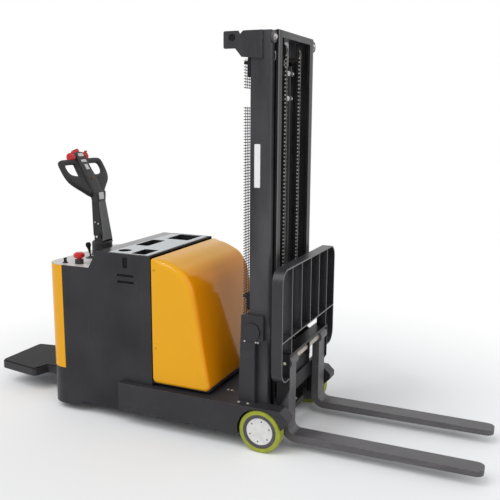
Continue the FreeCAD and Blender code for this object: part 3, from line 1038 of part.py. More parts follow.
def build_carriage():
    """Side plates on rollers, the fork frame with its bar, and the load backrest."""
    front_face = ahead("frame_front")
    back_face = ahead("frame_back")
    top = block("frame_shelf", (back_face, front_face), ("-frame_half", "frame_half"),
                ("frame_top - plate", "frame_top"))
    bearing = block("frame_bearing", (back_face, ahead("frame_back + bearing_deep")),
                    ("end_plate - frame_half", "frame_half - end_plate"),
                    ("frame_low", "bearing_top"))
    apron = block("frame_apron", (back_face, ahead("frame_back + plate/2")),
                  ("side_thick - side_out", "side_out - side_thick"),
                  ("bearing_top", "frame_top - plate"))
    ends = []
    for side in ("frame_half - end_plate", "-frame_half"):
        ends.append(prism(f"frame_end_{len(ends)}", "Y", [
            (back_face, "frame_low"), (ahead("frame_back + bearing_deep"), "frame_low"),
            (front_face, "bearing_top"),
            (front_face, "frame_top - plate"), (back_face, "frame_top - plate")], side, f"{side} + end_plate"))
    support = cut("bar_support", block("bar_support_plate", (ahead("frame_back + plate/2"),
                                                             ahead("bar_forward + 1.5*bar_radius")),
                                       ("-plate/2", "plate/2"), ("bar_z - 2*bar_radius", "frame_top - plate")),
                  rod("bar_support_bore", "Y", (ahead("bar_forward"), "-plate", "bar_z"), "bar_radius",
                      "2*plate"))
    anchors = []
    for side in (-1, 1):
        anchors.append(block(f"chain_anchor_{side}", (behind("pulley_back - pulley_pitch + link_tall/2"),
                                                      back_face),
                             (f"{side}*pulley_out - chain_wide", f"{side}*pulley_out + chain_wide"),
                             ("anchor_z - plate", "anchor_z")))
    keep("carriage_frame", fuse("carriage_frame", top, bearing, apron, *ends, support, *anchors))

    def side(name):
        plate = prism(f"{name}_plate", "Y", [
            (behind("side_back"), "side_low"), (ahead("0"), "side_low"), (back_face, "frame_low"),
            (back_face, "frame_top"), (ahead("0"), "side_high"), (behind("side_back"), "side_high")],
            "side_out - side_thick", "side_out")
        stubs = []
        for height in ("roller_low_z", "roller_high_z"):
            stubs.append(rod(f"{name}_stub_{len(stubs)}", "Y", (INNER_MIDDLE, "side_out", height), "stub_radius",
                             "inner_web_in - side_out - 2*running_gap"))
        return fuse(name, plate, *stubs)
    pair("carriage_side", side)
    for level in ("low", "high"):
        wheel = roller(f"carriage_roller_{level}", INNER_MIDDLE, "inner_inner + 2*running_gap",
                       "inner_web_in - inner_inner - 5*running_gap", INNER_ROLLER, f"roller_{level}_z",
                       "stub_radius + running_gap")
        keep(f"carriage_rollers_{level}",
             group(f"carriage_rollers_{level}", wheel, mirrored(f"carriage_roller_{level}_right", wheel)))
    keep("fork_bar", rod("fork_bar", "Y", (ahead("bar_forward"), "end_plate - frame_half", "bar_z"), "bar_radius",
                         "2*(frame_half - end_plate)"))

    bar_back = ahead("frame_front - rest_deep")

    def rest_side(name):
        inner = "rest_round - rest_bar"
        return prism(name, "X", [
            ("frame_half", "rest_low"), ("rest_half", "rest_low"), ("rest_half", "rest_top"),
            ("rest_half - rest_round", "rest_top"), ("rest_half - rest_round", "rest_top - rest_bar"),
            ("rest_half - rest_bar", "rest_top - rest_bar"), ("rest_half - rest_bar", "rest_low + rest_bar"),
            ("frame_half", "rest_low + rest_bar")], bar_back, front_face,
            rounds={1: "rest_round*0.999", 2: "rest_round*0.999", 5: f"({inner})*0.999", 6: f"({inner})*0.999"})
    pair("backrest_side", rest_side)
    slats = [block("rest_top_bar", (bar_back, front_face), ("rest_round - rest_half", "rest_half - rest_round"),
                   ("rest_top - rest_bar", "rest_top"))]
    slats.append(block("rest_crossbar", (bar_back, front_face), ("rest_bar - rest_half", "rest_half - rest_bar"),
                       ("cross_z - rest_bar", "cross_z")))
    count = int(size("slat_count"))
    for number in range(count):
        middle = f"rest_half*(2*{number + 1}/(slat_count + 1) - 1)"
        foot = "frame_top" if number in (0, count - 1) else "cross_z - rest_bar"
        slats.append(block(f"slat_{number}", (ahead("frame_front - rest_deep/2 - slat_deep/2"),
                                              ahead("frame_front - rest_deep/2 + slat_deep/2")),
                           (f"{middle} - slat/2", f"{middle} + slat/2"), (foot, "rest_top - rest_bar")))
    keep("backrest_slats", fuse("backrest_slats", *slats))


def build_forks():
    """Forged forks that hang on the bar by an eye and slide along it."""
    def fork(name):
        low, high = "fork_out - fork_wide/2", "fork_out + fork_wide/2"
        tip = ahead("front_reach")
        blade = prism(f"{name}_blade", "Y", [
            (ahead("fork_back"), "fork_top"), (ahead("fork_back"), "fork_top_z - fork_thick"),
            (tip, "fork_top_z - fork_tip_thick"), (tip, "fork_top_z"),
            (ahead("fork_back + fork_thick"), "fork_top_z"), (ahead("fork_back + fork_thick"), "fork_top")],
            low, high,
            rounds={1: "fork_heel", 4: "fork_heel - fork_thick"})
        far = size(tip)
        fillet(blade, f"{name}_nose", lambda edge: along(edge, "Z") and abs(edge.CenterOfMass.x - far) < 0.01,
               "fork_nose")
        eye = rod(f"{name}_eye", "Y", (ahead("bar_forward"), low, "bar_z"), "eye_radius", "fork_wide")
        bore = rod(f"{name}_bore", "Y", (ahead("bar_forward"), f"{low} - 1", "bar_z"), "bar_radius + eye_gap",
                   "fork_wide + 2")
        return cut(name, fuse(f"{name}_forging", blade, eye), bore)
    pair("fork", fork)


def build_tilt():
    """Tilt cylinder in the frame's tunnel; its rod pushes the foot of the mast."""
    rear = "tilt_rear + tilt_eye"
    barrel = rod("tilt_tube", "X", (behind(rear), "0", "tilt_z"), "tilt_radius", "tilt_barrel + tilt_eye")
    bore = rod("tilt_tube_bore", "X", (behind("tilt_rear - 2*tilt_radius"), "0", "tilt_z"),
               "tilt_rod + running_gap", "tilt_barrel")
    keep("tilt_cylinder", cut("tilt_cylinder", barrel, bore))
    shaft = rod("tilt_shaft", "X", (behind("tilt_rear - 3.5*tilt_radius"), "0", "tilt_z"), "tilt_rod",
                "tilt_rear - 3.5*tilt_radius - tilt_pin_back")
    eye = rod("tilt_eye_ring", "Y", (behind("tilt_pin_back"), "-tilt_eye_wide/2", "tilt_z"), "tilt_eye",
              "tilt_eye_wide")
    hole = rod("tilt_eye_hole", "Y", (behind("tilt_pin_back"), "-tilt_eye_wide", "tilt_z"),
               "tilt_pin + tilt_slack", "2*tilt_eye_wide")
    keep("tilt_rod", cut("tilt_rod", fuse("tilt_rod_set", shaft, eye), hole))


frame = build_base()
build_pins()
build_load_wheels()
build_body()
build_counterweight()
build_power()
build_lid()
build_drive(frame)
build_tiller()
build_deck_controls()
build_platform()
build_outer_mast()
build_inner_mast()
build_lift()
build_carriage()
build_forks()
build_tilt()
doc.recompute()

faults = [item.Label for item in doc.Objects if {"Invalid", "Error"} & set(item.State)]
for name, item in parts.items():
    if item.Shape.isNull() or not item.Shape.isValid() or not item.Shape.Solids:
        faults.append(name)
if faults:
    raise RuntimeError("pieces that did not build: " + ", ".join(faults))

os.makedirs("parts", exist_ok=True)
for name, item in parts.items():
    item.Shape.exportStep(f"parts/{name}.step")
print(len(parts), "sub-parts written")
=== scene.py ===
import math

import bmesh
import bpy
import numpy as np
from mathutils import Matrix


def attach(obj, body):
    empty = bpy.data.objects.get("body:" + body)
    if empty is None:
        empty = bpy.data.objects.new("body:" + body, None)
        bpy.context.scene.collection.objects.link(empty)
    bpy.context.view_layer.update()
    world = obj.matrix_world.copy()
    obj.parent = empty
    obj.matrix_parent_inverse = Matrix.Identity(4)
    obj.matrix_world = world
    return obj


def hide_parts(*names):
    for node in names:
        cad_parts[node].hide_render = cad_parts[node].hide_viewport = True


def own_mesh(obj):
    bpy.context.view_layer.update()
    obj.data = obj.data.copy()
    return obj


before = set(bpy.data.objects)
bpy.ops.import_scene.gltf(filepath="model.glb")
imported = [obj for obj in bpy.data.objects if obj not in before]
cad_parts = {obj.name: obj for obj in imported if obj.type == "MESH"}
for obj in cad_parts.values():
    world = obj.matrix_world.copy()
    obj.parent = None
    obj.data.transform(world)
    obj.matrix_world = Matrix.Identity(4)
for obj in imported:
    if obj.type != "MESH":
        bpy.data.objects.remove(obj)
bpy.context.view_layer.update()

# Counterbalance stacker dressed for its photograph: finishes, fine pieces, light, floor and camera.
# Lengths are metres in the CAD frame: X forward, Y to the truck's left, Z up.

AXLE = 0.399                # load axle, along X
BARREL = AXLE - 0.042       # middle of the lift barrel, along X
MAST_BOLT_Z = 2.044         # bolts and tie bar at the mast's top
HANDS = ((1, "left"), (-1, "right"))


# Shapes: arrays of points and faces

def grid_faces(rows, columns, close_rows=False, close_columns=False):
    """Quads between neighbours of a grid whose point (r, c) has index r * columns + c."""
    r = np.arange(rows if close_rows else rows - 1)[:, None]
    c = np.arange(columns if close_columns else columns - 1)[None, :]
    r2, c2 = (r + 1) % rows, (c + 1) % columns
    corners = np.broadcast_arrays(r * columns + c, r * columns + c2, r2 * columns + c2, r2 * columns + c)
    return np.stack(corners, -1).reshape(-1, 4)


AXES = {"X": (1, 2, 0), "Y": (2, 0, 1), "Z": (0, 1, 2)}


def turned(profile, at, axis="Z", sides=48, closed=False):
    """A profile of (along, radius) points carried round an axis: across = radius * (cos t, sin t)."""
    profile = np.asarray(profile, float)
    t = np.linspace(0, 2 * np.pi, sides, endpoint=False)
    points = np.zeros((len(profile), sides, 3))
    a, b, c = AXES[axis]
    points[..., a] = profile[:, 1, None] * np.cos(t)
    points[..., b] = profile[:, 1, None] * np.sin(t)
    points[..., c] = profile[:, 0, None]
    return (points + np.asarray(at)).reshape(-1, 3), grid_faces(len(profile), sides, closed, True)


def signed_power(value, power):
    """A power of the size, with the sign kept."""
    return np.sign(value) * np.abs(value) ** power


def pillow(centre, half, squareness=0.25, rows=17, columns=40):
    """A box with soft edges: a superellipsoid, each axis a signed power of the sphere's cosines."""
    v = np.linspace(-np.pi / 2, np.pi / 2, rows)[:, None]
    u = np.linspace(0, 2 * np.pi, columns, endpoint=False)[None, :]
    ring = signed_power(np.cos(v), squareness)
    points = np.stack(np.broadcast_arrays(ring * signed_power(np.cos(u), squareness),
                                          ring * signed_power(np.sin(u), squareness),
                                          signed_power(np.sin(v), squareness)), -1)
    placed = points * np.asarray(half) + np.asarray(centre)
    return placed.reshape(-1, 3), grid_faces(rows, columns, False, True)


def lofted(rings):
    """A closed skin through rings of points, each end drawn together at its ring's middle."""
    rings = np.asarray(rings, float)
    ends = [np.repeat(rings[n].mean(0)[None], rings.shape[1], 0)[None] for n in (0, -1)]
    points = np.concatenate([ends[0], rings, ends[1]])
    return points.reshape(-1, 3), grid_faces(len(points), rings.shape[1], False, True)


def block(low, high, bend=0.0008, steps=3):
    """A box with rounded edges: the eighths of a ball of one bend, drawn apart to the box's corners."""
    low, high = np.asarray(low, float), np.asarray(high, float)
    quarter = np.linspace(0, np.pi / 2, steps)
    v = np.concatenate([quarter - np.pi / 2, quarter])[:, None]
    u = np.concatenate([quarter + n * np.pi / 2 for n in range(4)])[None, :]
    mid_v = np.repeat([-1, 1], steps)[:, None]
    mid_u = np.repeat(np.arange(4) * np.pi / 2 + np.pi / 4, steps)[None, :]
    ball = np.stack(np.broadcast_arrays(np.cos(v) * np.cos(u), np.cos(v) * np.sin(u), np.sin(v)), -1)
    corner = np.sign(np.stack(np.broadcast_arrays(np.cos(mid_u), np.sin(mid_u), mid_v), -1))
    return lofted((low + high) / 2 + corner * ((high - low) / 2 - bend) + bend * ball)


def stamp(shape, turns, places):
    """Copies of one shape: each point is turned by a 3 x 3 matrix and moved to a place."""
    points, faces = shape
    turns, places = np.asarray(turns, float), np.asarray(places, float)
    copies = np.einsum("nij,pj->npi", np.broadcast_to(turns, (len(places), 3, 3)), points) + places[:, None]
    count = len(points)
    if isinstance(faces, np.ndarray):
        starts = count * np.arange(len(places))[:, None, None]
        all_faces = (faces[None] + starts).reshape(-1, faces.shape[1])
    else:
        all_faces = [[corner + count * n for corner in face] for n in range(len(places)) for face in faces]
    return copies.reshape(-1, 3), all_faces


def joined(*shapes):
    """Several shapes as one set of points and faces."""
    points, faces, start = [], [], 0
    for shape_points, shape_faces in shapes:
        points.append(shape_points)
        if isinstance(shape_faces, np.ndarray):
            faces += (shape_faces + start).tolist()
        else:
            faces += [[corner + start for corner in face] for face in shape_faces]
        start += len(shape_points)
    return np.concatenate(points), faces


FACING = {"+X": [[0, 0, 1], [1, 0, 0], [0, 1, 0]],
          "+Y": [[1, 0, 0], [0, 0, 1], [0, -1, 0]],
          "-Y": [[1, 0, 0], [0, 0, -1], [0, 1, 0]],
          "+Z": [[1, 0, 0], [0, 1, 0], [0, 0, 1]]}
OUTWARD = {1: FACING["+Y"], -1: FACING["-Y"]}


def bolt(head, washer):
    """A chamfered hexagon head on a washer, standing on Z = 0; sizes are (radius, height)."""
    disc = turned([(0, 0), (0, washer[0]), (washer[1] * 0.7, washer[0]), (washer[1], washer[0] * 0.93),
                   (washer[1], 0)], (0, 0, 0), sides=20)
    top = washer[1] + head[1]
    hexagon = turned([(washer[1] * 0.5, 0), (washer[1] * 0.5, head[0]), (top - head[1] * 0.18, head[0]),
                      (top, head[0] * 0.84), (top, 0)], (0, 0, 0), sides=6)
    return joined(disc, hexagon)


def piece(name, shape, finish, body, stands_for=(), sharp=32):
    """A finished mesh from points and faces, with closed poles and outward faces, on its CAD body."""
    points, faces = shape
    mesh = bpy.data.meshes.new(name)
    mesh.from_pydata(np.asarray(points).tolist(), [], faces if isinstance(faces, list) else faces.tolist())
    work = bmesh.new()
    work.from_mesh(mesh)
    bmesh.ops.remove_doubles(work, verts=work.verts, dist=1e-6)
    bmesh.ops.dissolve_degenerate(work, edges=work.edges, dist=1e-7)
    bmesh.ops.recalc_face_normals(work, faces=work.faces)
    work.to_mesh(mesh)
    work.free()
    mesh.shade_smooth()
    mesh.set_sharp_from_angle(angle=math.radians(sharp))
    mesh.materials.append(finish)
    item = bpy.data.objects.new(name, mesh)
    bpy.context.scene.collection.objects.link(item)
    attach(item, body)
    if stands_for:
        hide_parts(*stands_for)
    return item


# Finishes

def add(tree, kind, settings=None, **inputs):
    """A node with its options set and its named inputs filled or linked."""
    node = tree.nodes.new(kind)
    for key, value in (settings or {}).items():
        setattr(node, key, value)
    for key, value in inputs.items():
        socket = node.inputs[int(key[1:])] if key[0] == "_" else node.inputs[key.replace("_", " ")]
        if isinstance(value, bpy.types.NodeSocket):
            tree.links.new(value, socket)
        else:
            socket.default_value = value
    return node


def rgb(colour):
    """A colour with full cover."""
    return (*colour, 1.0)


def maths(tree, operation, *values):
    """One sum of values or links."""
    inputs = {f"_{number}": value for number, value in enumerate(values)}
    return add(tree, "ShaderNodeMath", {"operation": operation}, **inputs).outputs[0]


def product(tree, first, second):
    """Two vectors multiplied part by part."""
    return add(tree, "ShaderNodeVectorMath", {"operation": "MULTIPLY"}, _0=first, _1=second).outputs[0]


def ramp(tree, value, start, end):
    """0 up to one value and 1 from another, in a straight line between them."""
    return add(tree, "ShaderNodeMapRange", Value=value, From_Min=start, From_Max=end).outputs[0]


def blended(tree, mask, under, over):
    """One colour laid over another by a mask."""
    return add(tree, "ShaderNodeMix", {"data_type": "RGBA"}, _0=mask, _6=under, _7=over).outputs[2]


def group(name, inputs, outputs):
    """An empty shader node group with named inputs and outputs."""
    tree = bpy.data.node_groups.new(name, "ShaderNodeTree")
    for label, kind, value in inputs:
        socket = tree.interface.new_socket(label, in_out="INPUT", socket_type=kind)
        if value is not None:
            socket.default_value = value
    for label, kind in outputs:
        tree.interface.new_socket(label, in_out="OUTPUT", socket_type=kind)
    return tree, tree.nodes.new("NodeGroupInput").outputs, tree.nodes.new("NodeGroupOutput").inputs


FLOAT, COLOUR, VECTOR = "NodeSocketFloat", "NodeSocketColor", "NodeSocketVector"
EVEN = (1.0, 1.0, 1.0)


def make_film():
    """Colour that drifts in soft patches, a fine grain for bump, and a roughness that follows the patches."""
    tree, given, out = group("surface_film", [
        ("Vector", VECTOR, None), ("Colour", COLOUR, rgb((0.5, 0.5, 0.5))),
        ("Drift", COLOUR, rgb((0.6, 0.6, 0.6))), ("Patch Scale", FLOAT, 4.0), ("Patch Stretch", VECTOR, EVEN),
        ("Patch", FLOAT, 0.3), ("Grain Scale", FLOAT, 600.0), ("Rough", FLOAT, 0.4),
        ("Rough Spread", FLOAT, 0.1)], [("Colour", COLOUR), ("Roughness", FLOAT), ("Height", FLOAT)])
    drawn = product(tree, given["Vector"], given["Patch Stretch"])
    patches = add(tree, "ShaderNodeTexNoise", Vector=drawn, Scale=given["Patch Scale"], Detail=5.0).outputs[0]
    grain = add(tree, "ShaderNodeTexNoise", Vector=given["Vector"], Scale=given["Grain Scale"], Detail=2.0)
    amount = maths(tree, "MULTIPLY", ramp(tree, patches, 0.35, 0.72), given["Patch"])
    swing = maths(tree, "SUBTRACT", patches, 0.5)
    roughness = maths(tree, "MULTIPLY_ADD", swing, given["Rough Spread"], given["Rough"])
    tree.links.new(blended(tree, amount, given["Colour"], given["Drift"]), out["Colour"])
    tree.links.new(roughness, out["Roughness"])
    tree.links.new(grain.outputs[0], out["Height"])
    return tree


def make_edge_wear():
    """Edges found where a rounded normal turns away from the flat one, broken up by noise."""
    tree, given, out = group("edge_wear", [
        ("Vector", VECTOR, None), ("Radius", FLOAT, 0.003), ("Reach", FLOAT, 0.5)],
        [("Mask", FLOAT), ("Normal", VECTOR)])
    soft = add(tree, "ShaderNodeBevel", {"samples": 4}, Radius=given["Radius"]).outputs[0]
    flat = add(tree, "ShaderNodeNewGeometry").outputs["Normal"]
    along = add(tree, "ShaderNodeVectorMath", {"operation": "DOT_PRODUCT"}, _0=soft, _1=flat).outputs["Value"]
    chips = add(tree, "ShaderNodeTexNoise", Vector=given["Vector"], Scale=38.0, Detail=6.0).outputs[0]
    worn = maths(tree, "MULTIPLY", ramp(tree, along, 0.985, 0.80), ramp(tree, chips, 0.42, 0.66))
    tree.links.new(maths(tree, "MULTIPLY", worn, given["Reach"]), out["Mask"])
    tree.links.new(soft, out["Normal"])
    return tree


def make_scuffs():
    """Long thin scratches: a noise drawn out along one axis and cut off near its peaks."""
    tree, given, out = group("scuffs", [
        ("Vector", VECTOR, None), ("Stretch", VECTOR, EVEN), ("Amount", FLOAT, 0.4)], [("Mask", FLOAT)])
    drawn = product(tree, given["Vector"], given["Stretch"])
    lines = add(tree, "ShaderNodeTexNoise", Vector=drawn, Scale=9.0, Detail=7.0, Roughness=0.7).outputs[0]
    tree.links.new(maths(tree, "MULTIPLY", ramp(tree, lines, 0.56, 0.74), given["Amount"]), out["Mask"])
    return tree


FILM, WEAR, SCUFFS = make_film(), make_edge_wear(), make_scuffs()


def use(tree, node_group, **inputs):
    """A shared effect placed in a material with its own values."""
    return add(tree, "ShaderNodeGroup", {"node_tree": node_group}, **inputs)


def finish(name, colour, drift, rough=0.4, spread=0.12, patch=0.35, patch_scale=5.0, grain=700.0, bump=0.12,
           wear=0.4, bare=(0.30, 0.29, 0.28), radius=0.002, scuff=None, scuff_colour=(0.25, 0.25, 0.25),
           metal=0.0, coat=0.0, specular=0.5, stretch=EVEN, second=None):
    """A paint, plastic or metal: film, edge wear and scuffs feed one shader.

    second = (mask builder, colour, roughness) lays another finish over part of the surface.
    """
    material = bpy.data.materials.new(name)
    material.use_nodes = True
    tree = material.node_tree
    shader = tree.nodes["Principled BSDF"]
    where = add(tree, "ShaderNodeTexCoord").outputs["Object"]
    film = use(tree, FILM, Vector=where, Colour=rgb(colour), Drift=rgb(drift), Patch_Scale=patch_scale,
               Patch_Stretch=stretch, Patch=patch, Grain_Scale=grain, Rough=rough, Rough_Spread=spread)
    shade, roughness = film.outputs["Colour"], film.outputs["Roughness"]
    if second:
        build, other, other_rough = second
        mask = build(tree, where)
        shade = blended(tree, mask, shade, rgb(other))
        roughness = add(tree, "ShaderNodeMix", _0=mask, _2=roughness, _3=other_rough).outputs[0]
    if scuff:
        marks = use(tree, SCUFFS, Vector=where, Stretch=scuff[0], Amount=scuff[1])
        shade = blended(tree, marks.outputs[0], shade, rgb(scuff_colour))
    edges = use(tree, WEAR, Vector=where, Radius=radius, Reach=wear)
    shade = blended(tree, edges.outputs["Mask"], shade, rgb(bare))
    relief = add(tree, "ShaderNodeBump", Strength=bump, Distance=0.001, Height=film.outputs["Height"],
                 Normal=edges.outputs["Normal"])
    tree.links.new(shade, shader.inputs["Base Color"])
    tree.links.new(roughness, shader.inputs["Roughness"])
    tree.links.new(relief.outputs[0], shader.inputs["Normal"])
    shader.inputs["Metallic"].default_value = metal
    shader.inputs["Coat Weight"].default_value = coat
    shader.inputs["Coat Roughness"].default_value = 0.05
    shader.inputs["Specular IOR Level"].default_value = specular
    return material


# Masks for a second finish; each takes the material's tree and its Object coordinates

X, Y, Z = 0, 1, 2
TRACK_FROM = 0.236          # inner edge of the polished strip, from the middle of the mast
LID_HALF = 0.337            # light part of the lid, from the middle of the truck
LID_BEHIND = -0.264         # front edge of the lid's light part, along X
LID_TOP = 0.9536            # just under the lid's and the cowl's flat top
DECK_TOP = 0.8575           # just over the deck
RIB_WAVES = 520.0           # radians for each metre


def mask_above(tree, vector, axis, level, soft=0.0004):
    """1 where one coordinate passes a level."""
    split = add(tree, "ShaderNodeSeparateXYZ", Vector=vector)
    return ramp(tree, split.outputs[axis], level - soft, level + soft)


def facing_forward(tree, level, soft):
    """1 where the surface looks forward more than a level."""
    normal = add(tree, "ShaderNodeTexCoord").outputs["Normal"]
    return mask_above(tree, normal, X, level, soft)


def front_face(tree, where):
    """1 on faces that look forward, where loads have rubbed the paint."""
    return facing_forward(tree, 0.9, 0.05)


def forward_painted_shade(tree, where):
    """From 0 on a face that looks up or sideways to 1 on one that looks forward; the cover paints its deeper
    orange here as painted shade.
    """
    return facing_forward(tree, 0.65, 0.3)


def times(tree, *masks):
    """Several masks multiplied together."""
    whole = masks[0]
    for mask in masks[1:]:
        whole = maths(tree, "MULTIPLY", whole, mask)
    return whole


def roller_track(tree, where):
    """1 on the outer part of a rail's front, which the rollers have polished."""
    apart = add(tree, "ShaderNodeVectorMath", {"operation": "ABSOLUTE"}, _0=where).outputs[0]
    return times(tree, front_face(tree, where), mask_above(tree, apart, Y, TRACK_FROM, 0.0015))


def cowl_top(tree, where):
    """1 on the flat top of the step cowl, which gets a lower roughness and a slightly lighter colour; the
    lighter colour is painted sheen.
    """
    return mask_above(tree, where, Z, LID_TOP)


def lid_top(tree, where):
    """1 on the lid's flat top inside its dark rim."""
    flip = product(tree, where, (-1.0, -1.0, 1.0))
    return times(tree, mask_above(tree, where, Z, LID_TOP), mask_above(tree, flip, X, -LID_BEHIND),
                 mask_above(tree, flip, Y, -LID_HALF), mask_above(tree, where, Y, -LID_HALF))


def deck_rings(tree, where):
    """1 on the collar, gaiter and ring that stand on the deck."""
    return mask_above(tree, where, Z, DECK_TOP)


def mat_ribs(tree, where):
    """Fine grooves across the rubber, from a sine of the distance along X."""
    split = add(tree, "ShaderNodeSeparateXYZ", Vector=where)
    wave = maths(tree, "SINE", maths(tree, "MULTIPLY", split.outputs[X], RIB_WAVES))
    return ramp(tree, wave, 0.2, 0.9)


# Paints

BLACK, BLACK_DRIFT = (0.023, 0.022, 0.025), (0.038, 0.037, 0.041)
# The mast paint's lighter patches, drawn out upright, are painted sheen: soft gloss streaks laid into the
# colour.
mast_paint_painted_sheen = finish("mast_paint_painted_sheen", (0.015, 0.0145, 0.0165), (0.095, 0.093, 0.099), rough=0.34, patch=0.62,
                    patch_scale=4.5, stretch=(1.0, 1.0, 0.3), wear=0.35, coat=0.05, specular=0.28,
                    scuff=((3, 3, 0.4), 0.25), scuff_colour=(0.07, 0.07, 0.075))
carriage_paint = finish("carriage_paint", (0.0075, 0.0070, 0.0080), (0.026, 0.025, 0.028), rough=0.38,
                        patch=0.6, wear=0.5, specular=0.15, scuff=((3, 3, 0.6), 0.3),
                        scuff_colour=(0.06, 0.06, 0.062))
inner_paint = finish("inner_rail_paint", (0.011, 0.0105, 0.012), (0.028, 0.027, 0.030), rough=0.32, patch=0.5,
                     wear=0.5, specular=0.2, scuff=((6, 6, 0.25), 0.45), scuff_colour=(0.13, 0.125, 0.12),
                     second=(roller_track, (0.105, 0.10, 0.095), 0.3))
rest_paint = finish("backrest_paint", BLACK, BLACK_DRIFT, rough=0.36, patch=0.6, wear=0.7, specular=0.36,
                    scuff=((3, 3, 1), 0.3), scuff_colour=(0.08, 0.08, 0.08),
                    second=(front_face, (0.13, 0.125, 0.12), 0.35))
frame_paint = finish("frame_paint", BLACK, BLACK_DRIFT, rough=0.42, patch=0.5, wear=0.6, specular=0.3,
                     scuff=((0.5, 3, 3), 0.3), scuff_colour=(0.08, 0.08, 0.085))
# The panel paint's large, strong lighter patches are painted sheen: gloss patches laid into the colour.
panel_paint_painted_sheen = finish("panel_paint_painted_sheen", (0.013, 0.0125, 0.0145), (0.036, 0.035, 0.039), rough=0.36, patch=0.8,
                     patch_scale=2.6, wear=0.3, specular=0.28, scuff=((5, 5, 0.5), 0.3),
                     scuff_colour=(0.055, 0.055, 0.06))
# The cowl's top is a little lighter than its sides: painted sheen; its lower roughness there is real gloss.
cowl_paint = finish("cowl_paint", (0.021, 0.020, 0.023), (0.033, 0.032, 0.036), rough=0.42, patch=0.7,
                    wear=0.3, specular=0.5, second=(cowl_top, (0.030, 0.029, 0.028), 0.13))
GLOSS = dict(colour=(0.79, 0.370, 0.002), drift=(0.73, 0.320, 0.002), rough=0.2, spread=0.06, patch=0.5,
             patch_scale=1.6, grain=260.0, bump=0.03, wear=0.12, bare=(0.85, 0.62, 0.22), radius=0.004,
             coat=0.55, specular=0.02)
yellow_gloss = finish("cover_yellow", **GLOSS)
# This cover's finish lays a deeper orange on faces that look forward: painted shade, not a second paint.
cover_gloss_painted_shade = finish("cover_gloss_painted_shade", second=(forward_painted_shade, (0.90, 0.300, 0.001), 0.2), **GLOSS)
fork_paint = finish("fork_paint", (0.080, 0.075, 0.078), (0.12, 0.114, 0.118), rough=0.42, patch=0.6,
                    patch_scale=9.0, wear=0.8, bare=(0.34, 0.33, 0.32), radius=0.003, specular=0.4,
                    scuff=((0.6, 5, 5), 0.5), scuff_colour=(0.19, 0.18, 0.18))

# Rubbers and plastics

mat_rubber = finish("mat_rubber", (0.014, 0.014, 0.015), (0.024, 0.024, 0.025), rough=0.7, patch=0.7,
                    grain=900.0, bump=0.4, wear=0.2, bare=(0.06, 0.06, 0.06), specular=0.25,
                    second=(mat_ribs, (0.026, 0.026, 0.027), 0.6))
plug_rubber = finish("plug_rubber", (0.006, 0.006, 0.006), (0.012, 0.012, 0.012), rough=0.6, grain=900.0,
                     bump=0.3, wear=0.1, bare=(0.05, 0.05, 0.05), specular=0.15)
dark_tyre = finish("drive_tyre", (0.022, 0.022, 0.022), (0.045, 0.044, 0.042), rough=0.62, patch=0.8,
                   grain=800.0, bump=0.3, scuff=((4, 0.6, 4), 0.4), scuff_colour=(0.08, 0.08, 0.078))
lime_tyre = finish("lime_tyre", (0.34, 0.37, 0.028), (0.25, 0.275, 0.038), rough=0.42, patch=0.8,
                   patch_scale=22.0, grain=700.0, bump=0.15, wear=0.25, bare=(0.42, 0.45, 0.12),
                   scuff=((5, 0.6, 5), 0.35), scuff_colour=(0.17, 0.18, 0.05), specular=0.35)
tray_plastic = finish("lid_plastic", (0.012, 0.012, 0.013), (0.02, 0.02, 0.021), rough=0.5, grain=1100.0,
                      bump=0.25, wear=0.15, bare=(0.3, 0.3, 0.3), specular=0.3,
                      second=(lid_top, (0.52, 0.545, 0.56), 0.36))
deck_plastic = finish("deck_plastic", (0.60, 0.575, 0.555), (0.50, 0.48, 0.465), rough=0.4, patch=0.6,
                      grain=1000.0, bump=0.2, wear=0.2, bare=(0.75, 0.74, 0.73),
                      second=(deck_rings, (0.02, 0.02, 0.021), 0.45))
grip_plastic = finish("grip_plastic", (0.017, 0.017, 0.018), (0.030, 0.030, 0.031), rough=0.5, patch=0.6,
                      grain=1500.0, bump=0.45, wear=0.3, bare=(0.10, 0.10, 0.10), radius=0.003, specular=0.3)
console_plastic = finish("console_plastic", (0.024, 0.023, 0.024), (0.042, 0.041, 0.042), rough=0.45,
                         patch=0.6, grain=1500.0, bump=0.4, wear=0.5, bare=(0.13, 0.13, 0.13), radius=0.003,
                         specular=0.35)
rib_plastic = finish("rib_plastic", (0.15, 0.15, 0.152), (0.19, 0.19, 0.19), rough=0.45, grain=1500.0,
                     bump=0.4, wear=0.4, bare=(0.2, 0.2, 0.2), specular=0.35)
red_plastic = finish("red_plastic", (0.56, 0.010, 0.014), (0.46, 0.008, 0.012), rough=0.3, patch=0.5,
                     grain=900.0, bump=0.08, wear=0.2, bare=(0.75, 0.12, 0.10), coat=0.15, specular=0.35)
dark_red = finish("dark_red", (0.17, 0.016, 0.014), (0.12, 0.014, 0.012), rough=0.35, patch=0.5, wear=0.3,
                  bare=(0.2, 0.1, 0.1), specular=0.3)
pad_plastic = finish("pad_plastic", (0.60, 0.60, 0.59), (0.70, 0.70, 0.69), rough=0.4, grain=1200.0, bump=0.2,
                     wear=0.2, bare=(0.6, 0.6, 0.6))
plain_strip = finish("plain_strip", (0.80, 0.79, 0.79), (0.70, 0.69, 0.69), rough=0.4, wear=0.0)

# Metals

